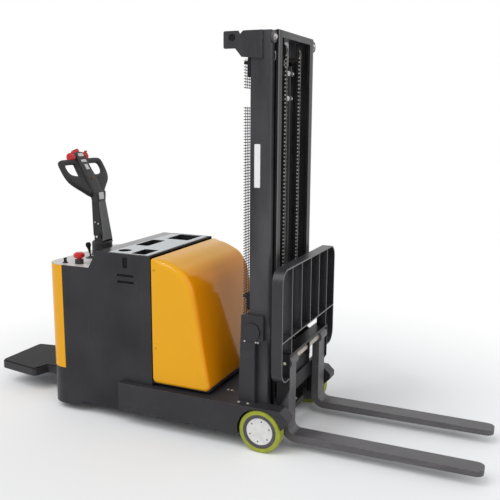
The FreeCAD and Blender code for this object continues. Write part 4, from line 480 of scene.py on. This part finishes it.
bright_steel = finish("bright_steel", (0.50, 0.49, 0.48), (0.34, 0.33, 0.32), rough=0.32, spread=0.2,
                      patch=0.7, patch_scale=40.0, wear=0.3, bare=(0.75, 0.75, 0.75), metal=1.0)
bar_zinc = finish("bar_zinc", (0.52, 0.48, 0.40), (0.40, 0.36, 0.30), rough=0.4, spread=0.2, patch=0.8,
                  patch_scale=26.0, wear=0.3, bare=(0.6, 0.6, 0.58), metal=0.25)
chrome_rod = finish("chrome_rod", (0.30, 0.30, 0.31), (0.22, 0.22, 0.22), rough=0.16, spread=0.06, patch=0.5,
                    wear=0.0, metal=1.0)
chain_steel = finish("chain_steel", (0.060, 0.056, 0.052), (0.030, 0.028, 0.026), rough=0.34, spread=0.3,
                     patch=0.9, patch_scale=60.0, wear=0.8, bare=(0.60, 0.58, 0.55), radius=0.001, metal=0.6)
# The chain pins are pale, nearly white steel: partly the real bright pin ends, partly painted glints that
# give a bright speck at each joint.
pin_steel_painted_glint = finish("pin_steel_painted_glint", (0.80, 0.78, 0.74), (0.50, 0.48, 0.45), rough=0.3, spread=0.2, patch=0.8,
                   patch_scale=70.0, wear=0.0, metal=0.25)
guard_wire = finish("guard_wire", (0.012, 0.012, 0.013), (0.035, 0.035, 0.035), rough=0.4, patch=0.8,
                    patch_scale=50.0, wear=0.0, metal=0.1, specular=0.25)
cast_grey = finish("cast_grey", (0.07, 0.07, 0.072), (0.11, 0.10, 0.10), rough=0.6, grain=350.0, bump=0.6,
                   patch=0.7)
rim_grey = finish("rim_grey", (0.070, 0.064, 0.073), (0.10, 0.092, 0.10), rough=0.4, patch=0.6,
                  patch_scale=30.0, wear=0.5, specular=0.3)
hub_white = finish("hub_white", (0.70, 0.695, 0.68), (0.55, 0.54, 0.52), rough=0.4, patch=0.55,
                   patch_scale=34.0, grain=500.0, bump=0.2, wear=0.2, bare=(0.5, 0.5, 0.5))

NODE_FINISH = {
    mast_paint_painted_sheen: ["outer_rail_left", "outer_rail_right", "inner_mast_beams"],
    carriage_paint: ["mast_cross_members", "carriage_frame", "carriage_side_left", "carriage_side_right",
                     "lift_cylinder"],
    rest_paint: ["backrest_side_left", "backrest_side_right", "backrest_slats"],
    inner_paint: ["inner_rail_left", "inner_rail_right"],
    # The counterweight takes the black frame paint: partly the black of the chassis, partly painted shade, so
    # that its rim under the cover reads as a dark gap.
    frame_paint: ["leg_left", "leg_right", "chassis_frame", "platform", "tilt_cylinder", "power_units",
                  "platform_hinge", "fixed_pins", "counterweight"],
    panel_paint_painted_sheen: ["side_panel_left", "side_panel_right", "rear_skirt"],
    cowl_paint: ["step_cowl"],
    yellow_gloss: ["rear_cover", "counterweight_cover"],
    fork_paint: ["fork_left", "fork_right"],
    mat_rubber: ["platform_mat"],
    tray_plastic: ["battery_lid"],
    deck_plastic: ["control_deck"],
    grip_plastic: ["tiller_arm", "tiller_head", "steering_column", "hydraulic_lever", "battery", "key"],
    red_plastic: ["throttle_paddles", "belly_button", "emergency_stop"],
    dark_red: ["horn_button"],
    pad_plastic: ["lift_rocker"],
    bright_steel: ["outer_mast_rollers", "inner_mast_rollers", "carriage_rollers_low",
                   "carriage_rollers_high"],
    bar_zinc: ["fork_bar"],
    chrome_rod: ["lift_rod", "tilt_rod"],
    chain_steel: ["chain_pulleys", "chains_front", "chains_back"],
    guard_wire: ["wire_guard"],
    cast_grey: ["drive_gearbox"],
    dark_tyre: ["drive_wheel"],
    lime_tyre: ["load_wheel_left", "load_wheel_right"],
}
for material, names in NODE_FINISH.items():
    for name in names:
        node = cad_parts[name]
        node.data.materials.clear()
        node.data.materials.append(material)


# Load wheels

WHEEL_INNER, WHEEL_Z = 0.324, 0.1125        # inner face along Y, and the axle's height
TYRE_RADIUS, TYRE_SEAT, TYRE_WIDE, TYRE_BEND = 0.1124, 0.0895, 0.058, 0.007
HUB_FACE = 0.0540                           # the hub's flat, from the wheel's inner face
SCREW_RING, SCREW_START = 0.055, 0.35       # radius in metres, first angle in radians
# Profiles of (distance from the inner face, radius)
RIM = ((0.0, 0.020), (0.0, TYRE_SEAT), (0.0565, TYRE_SEAT), (0.0575, 0.0882), (0.0575, 0.0735),
       (0.0565, 0.0722), (0.050, 0.0715), (0.050, 0.020))
HUB = ((0.046, 0.0), (0.046, 0.0708), (0.0556, 0.0708), (0.0562, 0.0690), (0.0545, 0.0640),
       (HUB_FACE, 0.0150), (0.0552, 0.0125), (0.0556, 0.0))


def shoulder(inner, outer, wide, bend, steps=7):
    """A tread profile: flat sides, and quarter-circle shoulders of one bend."""
    t = np.linspace(0, np.pi / 2, steps)
    left = np.stack([bend - bend * np.cos(t), outer - bend + bend * np.sin(t)], 1)
    right = np.stack([wide - bend + bend * np.sin(t), outer - bend + bend * np.cos(t)], 1)
    return np.concatenate([[(0.0, inner)], left, right, [(wide, inner)]])


for side, label in HANDS:
    body = f"load_wheel_{label}"
    at = (AXLE, side * WHEEL_INNER, WHEEL_Z)
    tyre, rim, hub = (np.asarray(profile) * (side, 1) for profile in (
        shoulder(TYRE_SEAT, TYRE_RADIUS, TYRE_WIDE, TYRE_BEND), RIM, HUB))
    piece(f"wheel_tyre_{label}", turned(tyre, at, "Y", 96, True), lime_tyre, body, [body])
    piece(f"wheel_rim_{label}", turned(rim, at, "Y", 72, True), rim_grey, body)
    piece(f"wheel_hub_{label}", turned(hub, at, "Y", 72), hub_white, body)
    angles = np.arange(6) * np.pi / 3 + SCREW_START
    spots = np.stack([AXLE + SCREW_RING * np.cos(angles), np.full(6, side * (WHEEL_INNER + HUB_FACE)),
                      WHEEL_Z + SCREW_RING * np.sin(angles)], 1)
    screw = bolt((0.0032, 0.0012), (0.0042, 0.0006))
    piece(f"wheel_screws_{label}", stamp(screw, OUTWARD[side], spots), rim_grey, body)


# Leaf chains

PITCH, PLATE_BROAD, PLATE_THICK, WAIST = 0.01905, 0.0128, 0.0021, 0.34
# Plates across one chain: an outer and an inner stack by turns
STACKS = ((-0.0066, -0.0022, 0.0022, 0.0066), (-0.0044, 0.0, 0.0044))
PIN_END, PIN_RADIUS = 0.0083, 0.0042
PULLEY_X, PULLEY_Z, REACH = AXLE - 0.031, 1.992, 0.038
CHAIN_SIDES = (-0.095, 0.095)
ANCHOR_Z, FOOT_Z = 0.402, 0.222             # lower ends of the front and the back runs


def link_plate(long, broad, thick):
    """One chain plate: two round ends and a waist, drawn in (X, Z) and given a thickness along Y."""
    t = np.linspace(-np.pi / 2, np.pi / 2, 6)
    end = np.stack([np.sin(t) * broad / 2, long / 2 + np.cos(t) * broad / 2], 1)
    waist = np.array([[broad * WAIST, 0.0]])
    ring = np.concatenate([end, waist, -end, -waist])
    count = len(ring)
    flat = np.concatenate([np.stack([ring[:, 0], np.full(count, y), ring[:, 1]], 1)
                           for y in (-thick / 2, thick / 2)])
    sides = [[n, (n + 1) % count, count + (n + 1) % count, count + n] for n in range(count)]
    return flat, sides + [list(range(count)), list(range(2 * count - 1, count - 1, -1))]


def chain(path, slim):
    """Plates laid along a path in (X, Z), two stacks by turns, with a pin at each joint."""
    path = np.asarray(path)
    steps = np.concatenate([[0], np.cumsum(np.linalg.norm(np.diff(path, axis=0), axis=1))])
    joints = np.linspace(0, steps[-1], int(round(steps[-1] / PITCH)) + 1)
    nodes = np.stack([np.interp(joints, steps, path[:, 0]), np.interp(joints, steps, path[:, 1])], 1)
    middle = (nodes[1:] + nodes[:-1]) / 2
    run = nodes[1:] - nodes[:-1]
    run /= np.linalg.norm(run, axis=1, keepdims=True)
    zero = np.zeros(len(run))
    turns = np.stack([np.stack([run[:, 1], zero, run[:, 0]], 1), np.stack([zero, zero + 1, zero], 1),
                      np.stack([-run[:, 0], zero, run[:, 1]], 1)], 1)
    plate = link_plate(PITCH, PLATE_BROAD * slim, PLATE_THICK * slim)
    half_pin = [(0.0078, PIN_RADIUS), (PIN_END, 0.0030), (PIN_END, 0)]
    profile = [(-along, radius) for along, radius in half_pin[::-1]] + half_pin
    pin_points, pin_faces = turned(profile, (0, 0, 0), "Y", 8)
    plates, pins = [], []
    for y in CHAIN_SIDES:
        for first, stack in enumerate(STACKS):
            for offset in stack:
                across = np.full(len(middle[first::2]), y + offset * slim)
                at = np.stack([middle[first::2, 0], across, middle[first::2, 1]], 1)
                plates.append(stamp(plate, turns[first::2], at))
        at = np.stack([nodes[:, 0], np.full(len(nodes), y), nodes[:, 1]], 1)
        pins.append(stamp((pin_points * slim, pin_faces), np.eye(3), at))
    return joined(*plates), joined(*pins)


bow = np.linspace(0, np.pi, 60)
over = np.stack([PULLEY_X + REACH * np.cos(bow), PULLEY_Z + REACH * np.sin(bow)], 1)
front_x, back_x = PULLEY_X + REACH, PULLEY_X - REACH
for name, path, body, slim, node in (
        ("chain_front", [(front_x, PULLEY_Z), (front_x, ANCHOR_Z)], "inner_mast", 1.0, ["chains_front"]),
        ("chain_back", np.concatenate([over, [(back_x, FOOT_Z)]]), "inner_mast", 1.0, ["chains_back"]),
        ("chain_foot", [(back_x, PULLEY_Z), (back_x, FOOT_Z)], "outer_mast", 0.9, [])):
    plates, pins = chain(path, slim)
    links = [piece(f"{name}_plates", plates, chain_steel, body, node, sharp=40),
             piece(f"{name}_pins", pins, pin_steel_painted_glint, body, (), sharp=40)]
    if name == "chain_front":
        for part in links:
            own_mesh(part)


# Wire guard behind the mast

GUARD_X = AXLE - 0.130
GUARD_BANDS = ((0.664, 1.722), (1.808, 1.949))      # lower and upper edge of each net
GUARD_HALF, COLUMN_HALF = 0.2925, 0.2758
ROW_STEP, FIRST_ROW, COLUMNS = 0.0138, 0.004, 29
ROW_RADIUS, COLUMN_RADIUS = 0.0022, 0.0017


def wires(starts, ends, radius):
    """Straight wires between pairs of points, each a six-sided bar."""
    bar = turned([(0, 0), (0, radius), (1, radius), (1, 0)], (0, 0, 0), sides=6)
    run = ends - starts
    side = np.cross(run, [1.0, 0.0, 0.0])
    side /= np.linalg.norm(side, axis=1, keepdims=True)
    turns = np.stack([np.broadcast_to([1.0, 0.0, 0.0], run.shape), side, run], 2)
    return stamp(bar, turns, starts)


def guard_band(low, high):
    """One net: level wires behind, upright wires in front of them."""
    heights = np.arange(low + FIRST_ROW, high, ROW_STEP)
    behind = np.full(len(heights), GUARD_X - 0.0008)
    reach = np.full(len(heights), GUARD_HALF)
    level = [np.stack([behind, end * reach, heights], 1) for end in (-1, 1)]
    across = np.linspace(-COLUMN_HALF, COLUMN_HALF, COLUMNS)
    ahead = np.full(COLUMNS, GUARD_X + 0.0010)
    upright = [np.stack([ahead, across, np.full(COLUMNS, end)], 1) for end in (low, high)]
    return wires(*level, ROW_RADIUS), wires(*upright, COLUMN_RADIUS)


guard_shapes = [shape for band in GUARD_BANDS for shape in guard_band(*band)]
piece("guard_net", joined(*guard_shapes), guard_wire, "outer_mast", ["wire_guard"])


# Moulded cover over the counterweight

# Corners of the side view (X behind the axle, Z), bend, and the rim's radius before and after the corner.
COVER = ((0.638, 0.258, 0.030, 0.008, 0.018), (0.292, 0.258, 0.028, 0.018, 0.022),
         (0.390, 0.800, 0.200, 0.036, 0.036), (0.436, 0.884, 0.120, 0.036, 0.036),
         (0.540, 0.932, 0.250, 0.036, 0.034), (0.638, 0.946, 0.013, 0.008, 0.008))
COVER_HALF = 0.356


def bent_outline(corners, steps=13):
    """Points, outward normals and rim radii round a convex outline, with an arc in each corner.

    The arc touches both sides: its middle lies bend / cos(half turn) along the bisector.
    """
    spots = np.array([(AXLE - behind, height) for behind, height, *_ in corners])
    points, normals, rims = [], [], []
    for number, (_, _, bend, rim_before, rim_after) in enumerate(corners):
        before, spot, after = spots[number - 1], spots[number], spots[(number + 1) % len(spots)]
        ways = [(end - start) / np.linalg.norm(end - start) for start, end in ((before, spot), (spot, after))]
        angles = np.unwrap([math.atan2(-way[0], way[1]) for way in ways])
        bisector = ways[1] - ways[0]
        half_turn = (angles[1] - angles[0]) / 2
        middle = spot + bisector / np.linalg.norm(bisector) * bend / math.cos(half_turn)
        share = np.linspace(0, 1, steps)
        turn = angles[0] + share * (angles[1] - angles[0])
        outward = np.stack([np.cos(turn), np.sin(turn)], 1)
        points.append(middle + bend * outward)
        normals.append(outward)
        rims.append(rim_before + share * (rim_after - rim_before))
    return np.concatenate(points), np.concatenate(normals), np.concatenate(rims)


def cover_shell(steps=11, border=0.004):
    """The outline drawn in by rim * (1 - sin t) while the side falls away by rim * (1 - cos t).

    A narrow flat border inside each rim keeps the flat of the side flat.
    """
    points, normals, rims = bent_outline(COVER)
    turn = np.concatenate([[0], np.linspace(0, np.pi / 2, steps)])[:, None]
    inside = np.where(np.arange(steps + 1) == 0, border, 0.0)[:, None]
    drawn = points[None] - (rims * (1 - np.sin(turn)) + inside)[..., None] * normals[None]
    across = COVER_HALF - rims * (1 - np.cos(turn))
    rings = np.stack([drawn[..., 0], across, drawn[..., 1]], -1)
    return lofted(np.concatenate([rings, (rings * (1, -1, 1))[::-1]]))


piece("cover_shell", cover_shell(), cover_gloss_painted_shade, "chassis", ["counterweight_cover"], sharp=40)


# Fasteners, plates and small trim

large = bolt((0.012, 0.008), (0.016, 0.003))
middling = bolt((0.0085, 0.006), (0.013, 0.002))
small = bolt((0.005, 0.003), (0.008, 0.0012))
tiny = bolt((0.0036, 0.0022), (0.0054, 0.0009))
PIN = np.array([AXLE - 1.192, 0.0, 0.972])      # the tiller's hinge pin

STOP_FACE, STOP_SIDES, STOP_SEAT = AXLE + 0.010, (-0.276, 0.276), 0.008
STOP_DISC = ((0, 0), (0, 0.027), (0.002, 0.029), (0.0085, 0.029), (0.0105, 0.027), (0.0105, 0.0225),
             (0.0085, 0.0205), (0.0085, 0))
stop_disc = turned(STOP_DISC, (0, 0, 0), sides=40)
stops, seats = ([(x, y, MAST_BOLT_Z) for y in STOP_SIDES] for x in (STOP_FACE, STOP_FACE + STOP_SEAT))
piece("rail_stop_discs", stamp(stop_disc, FACING["+X"], stops), rim_grey, "outer_mast")
piece("rail_stop_bolts", stamp(large, FACING["+X"], seats), bright_steel, "outer_mast")

# Bolts on both sides of the truck: name, bolt, finish, body, distance from the middle, and (X, Z) of each
SIDE_BOLTS = (
    ("cover_screws", small, yellow_gloss, "chassis", 0.3555, ((-0.220, 0.885), (-0.220, 0.459))),
    ("cap_bolts", tiny, bright_steel, "chassis", 0.3358,
     ((AXLE - 0.104, 0.563), (AXLE - 0.042, 0.563), (AXLE - 0.030, 0.563))),
    ("pin_caps", small, bright_steel, "drive_unit", 0.0594, ((PIN[0], PIN[2]),)),
    ("bar_end_bolt", small, bar_zinc, "carriage", 0.2998, ((AXLE + 0.101, 0.462),)))
for side, label in HANDS:
    for name, fastener, metal, body, apart, places in SIDE_BOLTS:
        spots = [(x, side * apart, z) for x, z in places]
        piece(f"{name}_{label}", stamp(fastener, OUTWARD[side], spots), metal, body)

FRAME_TOP = 0.2398
# Bolts on the frame and the legs: X of each pair, and its distance from the middle
DECK_BOLTS = ((0.152, 0.228), (0.176, 0.228), (0.272, 0.352), (0.322, 0.352))
deck_spots = [(x, y, FRAME_TOP) for x, apart in DECK_BOLTS for y in (-apart, apart)]
piece("deck_bolts", stamp(small, FACING["+Z"], deck_spots), bar_zinc, "chassis")

TIE_X, TIE_END = AXLE - 0.188, 0.3099
PLUG = ((0, 0), (0, 0.0163), (0.0014, 0.0163), (0.0022, 0.0150), (0.0016, 0.0120), (0.0016, 0))
plug = turned(PLUG, (0, 0, 0), sides=40)
plugs = [stamp(plug, OUTWARD[side], [(TIE_X, side * TIE_END, MAST_BOLT_Z)]) for side, _ in HANDS]
piece("tie_plugs", joined(*plugs), plug_rubber, "outer_mast")

# Thin black sheets just inside the side panels' vent slots: painted shade, standing in for the dark inside
# behind the slots.
VENT_X, VENT_Z, VENT_DEPTH = (AXLE - 0.862, AXLE - 0.735), (0.780, 0.940), (0.3450, 0.3499)
shade_sheets = []
for side, _ in HANDS:
    inner, outer = sorted(side * depth for depth in VENT_DEPTH)
    shade_sheets.append(block((VENT_X[0], inner, VENT_Z[0]), (VENT_X[1], outer, VENT_Z[1])))
piece("vent_shade_sheets", joined(*shade_sheets), plug_rubber, "chassis")

REST_HALF, SLAT_X, SLAT_HALF, SLAT_TOP = 0.410, (AXLE + 0.0735, AXLE + 0.1276), 0.0036, 0.951
SLAT_FEET = (0.509, 0.595, 0.595, 0.595, 0.509)
slat_sides = REST_HALF * (np.arange(1, 6) / 3 - 1)
slats = [block((SLAT_X[0], y - SLAT_HALF, foot), (SLAT_X[1], y + SLAT_HALF, SLAT_TOP))
         for y, foot in zip(slat_sides, SLAT_FEET)]
piece("slat_plates", joined(*slats), rest_paint, "carriage")

STRAPS = ((0.0361, 1.767), (0.0411, 1.890))     # the barrel's radius and the height at each strap
STRAP_REACH, STRAP_BOLTS, STRAP_SEAT = 88, (-40.0, 40.0), 0.003
STRAP_OUT = np.array([0.0, 0.0025, 0.0032, 0.0032, 0.0025, 0.0])
STRAP_UP = np.array([-0.011, -0.011, -0.0095, 0.0095, 0.011, 0.011])


def strap(radius, height):
    """A band round the front of the barrel: a thin slab's profile carried along an arc of its circle."""
    turn = np.radians(np.linspace(-STRAP_REACH, STRAP_REACH, 41))[:, None]
    out = STRAP_OUT[None, :] + radius
    return lofted(np.stack(np.broadcast_arrays(BARREL + out * np.cos(turn), out * np.sin(turn),
                                               height + STRAP_UP[None, :]), -1))


def on_barrel(radius, height):
    """Bolts that look outwards from the barrel, at some angles from its front."""
    shapes = []
    for turn in np.radians(STRAP_BOLTS):
        out = np.array([np.cos(turn), np.sin(turn), 0.0])
        axes = np.column_stack([[0.0, 0.0, 1.0], np.cross(out, [0.0, 0.0, 1.0]), out])
        shapes.append(stamp(middling, axes, [np.array([BARREL, 0.0, height]) + radius * out]))
    return joined(*shapes)


straps = [strap(radius, height) for radius, height in STRAPS]
strap_bolts = [on_barrel(radius + STRAP_SEAT, height) for radius, height in STRAPS]
piece("barrel_straps", joined(*straps), frame_paint, "outer_mast")
piece("strap_bolts", joined(*strap_bolts), bright_steel, "outer_mast")
piece("rail_strip", pillow((AXLE - 0.055, -0.3022, 1.441), (0.0155, 0.0007, 0.105), 0.08), plain_strip,
      "outer_mast")


# Tiller trim

ARM_TURN, HEAD_TURN, LEVER_TURN = np.radians([6.0, 30.0, 12.0])
ARM_LONG = 0.222                            # hinge pin to neck
ARM_FOOT, ARM_RISE = 0.008, 0.235           # where the arm's taper starts, and how far it goes on
SHIELD_LOW, SHIELD_HIGH = -0.024, 0.212     # ends of the ribbed shield along the arm
LEVER_FOOT = np.array([AXLE - 1.195, -0.122, 0.8736])
LEVER_GRIP = ((0.0115, 0.0), (0.0115, 0.0052), (0.030, 0.0072), (0.046, 0.0108), (0.054, 0.0148),
              (0.062, 0.0158), (0.069, 0.0150), (0.0755, 0.0105), (0.0775, 0.0))
NECK = PIN + ARM_LONG * np.array([-np.sin(ARM_TURN), 0.0, np.cos(ARM_TURN)])


def leaned(shape, turn, foot):
    """A shape drawn upright at the origin, turned about Y so that its top leans back, and put on its foot."""
    points, faces = shape
    axes = np.array([[np.cos(turn), 0, -np.sin(turn)], [0, 1, 0], [np.sin(turn), 0, np.cos(turn)]])
    return points @ axes.T + foot, faces


def on_head(shape):
    """A shape drawn on the upright tiller head, put in its place."""
    return leaned(shape, HEAD_TURN, NECK)


def on_arm(shape):
    """A shape drawn on the upright tiller arm, put in its place."""
    return leaned(shape, ARM_TURN, PIN)


def arm_cover():
    """The ribbed shield on the arm: a cosine of six waves across, on a front that tapers upwards."""
    rise = np.linspace(SHIELD_LOW, SHIELD_HIGH, 14)[:, None]
    share = (rise - ARM_FOOT) / ARM_RISE
    across = np.linspace(-1, 1, 73)[None, :]
    half = 0.042 - 0.0115 * share
    crest = 0.0030 * (1 - across ** 10) + 0.0019 * (1 + np.cos(6 * np.pi * across))
    front = np.stack(np.broadcast_arrays(0.031 - 0.010 * share + crest, half * across, rise), -1)
    back = front[:, ::-1].copy()
    back[..., 0] = 0.028 - 0.010 * share
    return lofted(np.concatenate([front, back], 1))


piece("arm_cover", on_arm(arm_cover()), rib_plastic, "tiller", sharp=60)
for side, label in HANDS:
    spots = [(x, side * (0.0475 - 0.0125 * (z - ARM_FOOT) / ARM_RISE), z)
             for x, z in ((0.010, 0.076), (-0.011, 0.086))]
    piece(f"arm_bolts_{label}", on_arm(stamp(tiny, OUTWARD[side], spots)), bright_steel, "tiller")
lever_grip = leaned(turned(LEVER_GRIP, (0, 0, 0), sides=32), LEVER_TURN, LEVER_FOOT)
piece("lever_grip", lever_grip, plug_rubber, "hydraulic_lever", sharp=50)
KEYS = ((0.279, 0.0105), (0.239, 0.0080))       # height on the head, half height
keys = [pillow((0.0279, 0.0, z), (0.0018, 0.024, half), 0.3, 13, 36) for z, half in KEYS]
piece("head_keys", on_head(joined(*keys)), pad_plastic, "tiller")

# Millimetres round one finger opening: the outer edge (across, along), the opening's edge (across, along)
# and half the thickness; last the squareness of the section
LOOP = np.array([
    (-12, 50, 66, 160, 17, 0.5), (-12, 140, 63, 178, 17, 0.5), (-12, 200, 62, 205, 16, 0.6),
    (-5, 262, 64, 228, 14, 0.7), (60, 265, 76, 232, 12, 0.8), (100, 265, 100, 232, 12, 0.8),
    (140, 265, 132, 232, 12, 0.8), (178, 264, 150, 230, 12.5, 0.8), (199, 252, 159, 222, 13, 0.75),
    (201, 228, 161, 210, 13, 0.75), (201, 200, 161, 197, 13, 0.75), (199, 165, 158, 184, 13.5, 0.7),
    (186, 125, 148, 170, 14.5, 0.65), (160, 98, 132, 161, 15.5, 0.6), (125, 74, 112, 156, 16.5, 0.5),
    (90, 48, 94, 153.5, 17, 0.5), (58, 18, 80, 153, 17, 0.5), (-12, -6, 70, 155, 17, 0.5)], float)
# Millimetres up the console and the neck's collar: height, half width, back and front
CONSOLE = np.array([
    (-16, 34, -14, 13), (-13, 38, -17, 18), (-6, 41, -19, 20.5), (40, 44, -19, 23.2), (92, 46, -20, 26.4),
    (104, 46, -23, 27.7), (112, 46, -27, 27.9), (150, 45.5, -33, 27.9), (200, 43, -34, 27.9),
    (250, 40, -34, 27.9), (288, 36.5, -33, 27.9), (296, 35.5, -32, 27.0), (299, 34, -30, 25.8),
    (300, 32.5, -28.5, 24.6)], float)
COLLAR = np.array([
    (200, 36.5, -20, 23), (204, 38, -22.5, 27), (212, 40, -24, 28.6), (232, 45, -25, 29),
    (252, 49.5, -25, 29), (262, 50.5, -24, 27.5), (266, 49, -21, 24)], float)
SWITCH_WELL = (0.0245, 0.300, 0.286)    # radius, top and floor of the belly switch's well


def finger_loop(side, fill=8, rounds=24, around=28):
    """A closed tube of changing section: rows drawn smooth by neighbour averages.

    Each row is a superellipse between the outer edge and the opening's edge.
    """
    rows = np.concatenate([LOOP, LOOP[:1]])
    spread = np.arange(len(LOOP) * fill) / fill
    rows = np.stack([np.interp(spread, np.arange(len(rows)), column) for column in rows.T], 1)
    for _ in range(rounds):
        rows = (np.roll(rows, 1, 0) + 2 * rows + np.roll(rows, -1, 0)) / 4
    outer, inner, thick, power = rows[:, None, 0:2], rows[:, None, 2:4], rows[:, None, 4], rows[:, None, 5]
    turn = np.linspace(0, 2 * np.pi, around, endpoint=False)[None, :]
    flat = (outer + inner) / 2 + (outer - inner) / 2 * signed_power(np.cos(turn), power)[..., None]
    forward = thick * signed_power(np.sin(turn), power)
    points = np.stack([forward, side * flat[..., 0], flat[..., 1]], -1) / 1000
    return points.reshape(-1, 3), grid_faces(len(rows), around, True, True)


def upright_rings(rows, well=(), around=56, square=0.32):
    """Superellipse rings of changing size, one above another.

    well = (radius, top, floor) sinks a round hole in the top.
    """
    turn = np.linspace(0, 2 * np.pi, around, endpoint=False)[None, :]
    rise, half, back, front = (column[:, None] / 1000 for column in rows.T)
    forward = (front + back) / 2 + (front - back) / 2 * signed_power(np.cos(turn), square)
    rings = np.stack(np.broadcast_arrays(forward, half * signed_power(np.sin(turn), square), rise), -1)
    if well:
        radius, *levels = well
        sunk = np.broadcast_arrays(radius * np.cos(turn), radius * np.sin(turn), np.array(levels)[:, None])
        rings = np.concatenate([rings, np.stack(sunk, -1)])
    return lofted(rings)


piece("grip_loops", on_head(joined(finger_loop(1), finger_loop(-1))), grip_plastic, "tiller",
      ["tiller_head"], sharp=50)
console = on_head(upright_rings(CONSOLE, SWITCH_WELL))
piece("head_console", console, console_plastic, "tiller", sharp=40)
piece("neck_collar", on_arm(upright_rings(COLLAR)), console_plastic, "tiller", sharp=40)
neck_plate = pillow((0.0293, -0.005, 0.238), (0.0012, 0.022, 0.0205), 0.12)
piece("neck_plate", on_arm(neck_plate), pad_plastic, "tiller")


# Light, floor and camera

FLOOR_REACH, FLOOR_Z = 30.0, -0.0005
FADE_FROM, FADE_TO = 1.3, 2.6       # distance from the truck's middle over which the floor turns white
WHITE = (1.0, 1.0, 1.0)


def seen_by(tree, first, *others):
    """1 for rays of the named kinds."""
    path = add(tree, "ShaderNodeLightPath").outputs
    seen = path[first]
    for kind in others:
        seen = maths(tree, "MAXIMUM", seen, path[kind])
    return seen


def ground():
    """A wide floor that turns plain white away from the truck, so that no horizon shows."""
    mesh = bpy.data.meshes.new("floor")
    corners = [(x * FLOOR_REACH, y * FLOOR_REACH, FLOOR_Z) for x, y in ((-1, -1), (1, -1), (1, 1), (-1, 1))]
    mesh.from_pydata(corners, [], [(0, 1, 2, 3)])
    item = bpy.data.objects.new("floor", mesh)
    bpy.context.scene.collection.objects.link(item)
    material = bpy.data.materials.new("floor_white")
    material.use_nodes = True
    tree = material.node_tree
    tree.nodes.clear()
    where = add(tree, "ShaderNodeTexCoord").outputs["Object"]
    away = add(tree, "ShaderNodeVectorMath", {"operation": "LENGTH"}, _0=where).outputs["Value"]
    matt = add(tree, "ShaderNodeBsdfDiffuse", Color=rgb((0.93, 0.93, 0.93)))
    glow = add(tree, "ShaderNodeEmission", Color=rgb(WHITE), Strength=1.0)
    seen = seen_by(tree, "Is Camera Ray", "Is Glossy Ray")
    share = maths(tree, "MULTIPLY", seen, ramp(tree, away, FADE_FROM, FADE_TO))
    mixed = add(tree, "ShaderNodeMixShader", _0=share, _1=matt.outputs[0], _2=glow.outputs[0])
    add(tree, "ShaderNodeOutputMaterial", Surface=mixed.outputs[0])
    mesh.materials.append(material)


def sky():
    """Even light from all round, seen as plain white."""
    world = bpy.data.worlds.new("studio")
    bpy.context.scene.world = world
    world.use_nodes = True
    tree = world.node_tree
    tree.nodes.clear()
    seen = seen_by(tree, "Is Camera Ray", "Is Glossy Ray", "Is Transmission Ray")
    light = add(tree, "ShaderNodeBackground", Color=rgb((0.95, 0.97, 1.0)), Strength=0.55)
    white = add(tree, "ShaderNodeBackground", Color=rgb(WHITE), Strength=1.0)
    mixed = add(tree, "ShaderNodeMixShader", _0=seen, _1=light.outputs[0], _2=white.outputs[0])
    add(tree, "ShaderNodeOutputWorld", Surface=mixed.outputs[0])


def lamp(name, towards, strength, angle):
    """A soft sun that shines from a direction."""
    data = bpy.data.lights.new(name, "SUN")
    data.energy = strength
    data.angle = math.radians(angle)
    item = bpy.data.objects.new(name, data)
    bpy.context.scene.collection.objects.link(item)
    back = np.asarray(towards) / np.linalg.norm(towards)
    side = np.cross([0, 0, 1], back)
    side /= np.linalg.norm(side)
    item.matrix_world = Matrix(np.column_stack([side, np.cross(back, side), back]).tolist()).to_4x4()


FRAME_PIXELS = 500                      # the photograph's width and height
FOCAL_PIXELS = 700.7
CENTRE_PIXELS = (248.9, 246.8)          # where the camera's axis meets the photograph
SENSOR = 36.0                           # millimetres
CAMERA_AT = (AXLE + 1.300, -3.418, 1.674)
CAMERA_DEGREES = (24.15, 10.5, 0.28)    # turn to the left, downward tilt, roll


def camera():
    """The photograph's camera: direction, roll, length and centre solved from points on the truck."""
    turn, down, roll = np.radians(CAMERA_DEGREES)
    ahead = np.array([-np.sin(turn) * np.cos(down), np.cos(turn) * np.cos(down), -np.sin(down)])
    right = np.array([np.cos(turn), np.sin(turn), 0.0])
    up = np.cross(right, ahead)
    right, up = np.cos(roll) * right + np.sin(roll) * up, np.cos(roll) * up - np.sin(roll) * right
    data = bpy.data.cameras.new("photo_camera")
    data.sensor_width = SENSOR
    data.lens = FOCAL_PIXELS * SENSOR / FRAME_PIXELS
    data.shift_x = (FRAME_PIXELS / 2 - CENTRE_PIXELS[0]) / FRAME_PIXELS
    data.shift_y = (CENTRE_PIXELS[1] - FRAME_PIXELS / 2) / FRAME_PIXELS
    item = bpy.data.objects.new("photo_camera", data)
    bpy.context.scene.collection.objects.link(item)
    pose = Matrix(np.column_stack([right, up, -ahead]).tolist()).to_4x4()
    pose.translation = CAMERA_AT
    item.matrix_world = pose
    bpy.context.scene.camera = item


# Name, direction, strength and angle across in degrees
LAMPS = (
    ("key_light", (-0.45, -0.75, 0.95), 1.1, 40),
    ("edge_light_0", (-0.25, -0.31, 0.92), 0.13, 5),
    ("edge_light_1", (0.25, -0.46, 0.85), 0.13, 5),
    ("edge_light_2", (0.70, -0.53, 0.48), 0.13, 5),
    ("fill_light", (0.9, -0.5, 0.6), 0.45, 60))
ground()
sky()
for row in LAMPS:
    lamp(*row)
camera()
bpy.context.scene.view_settings.view_transform = "Standard"
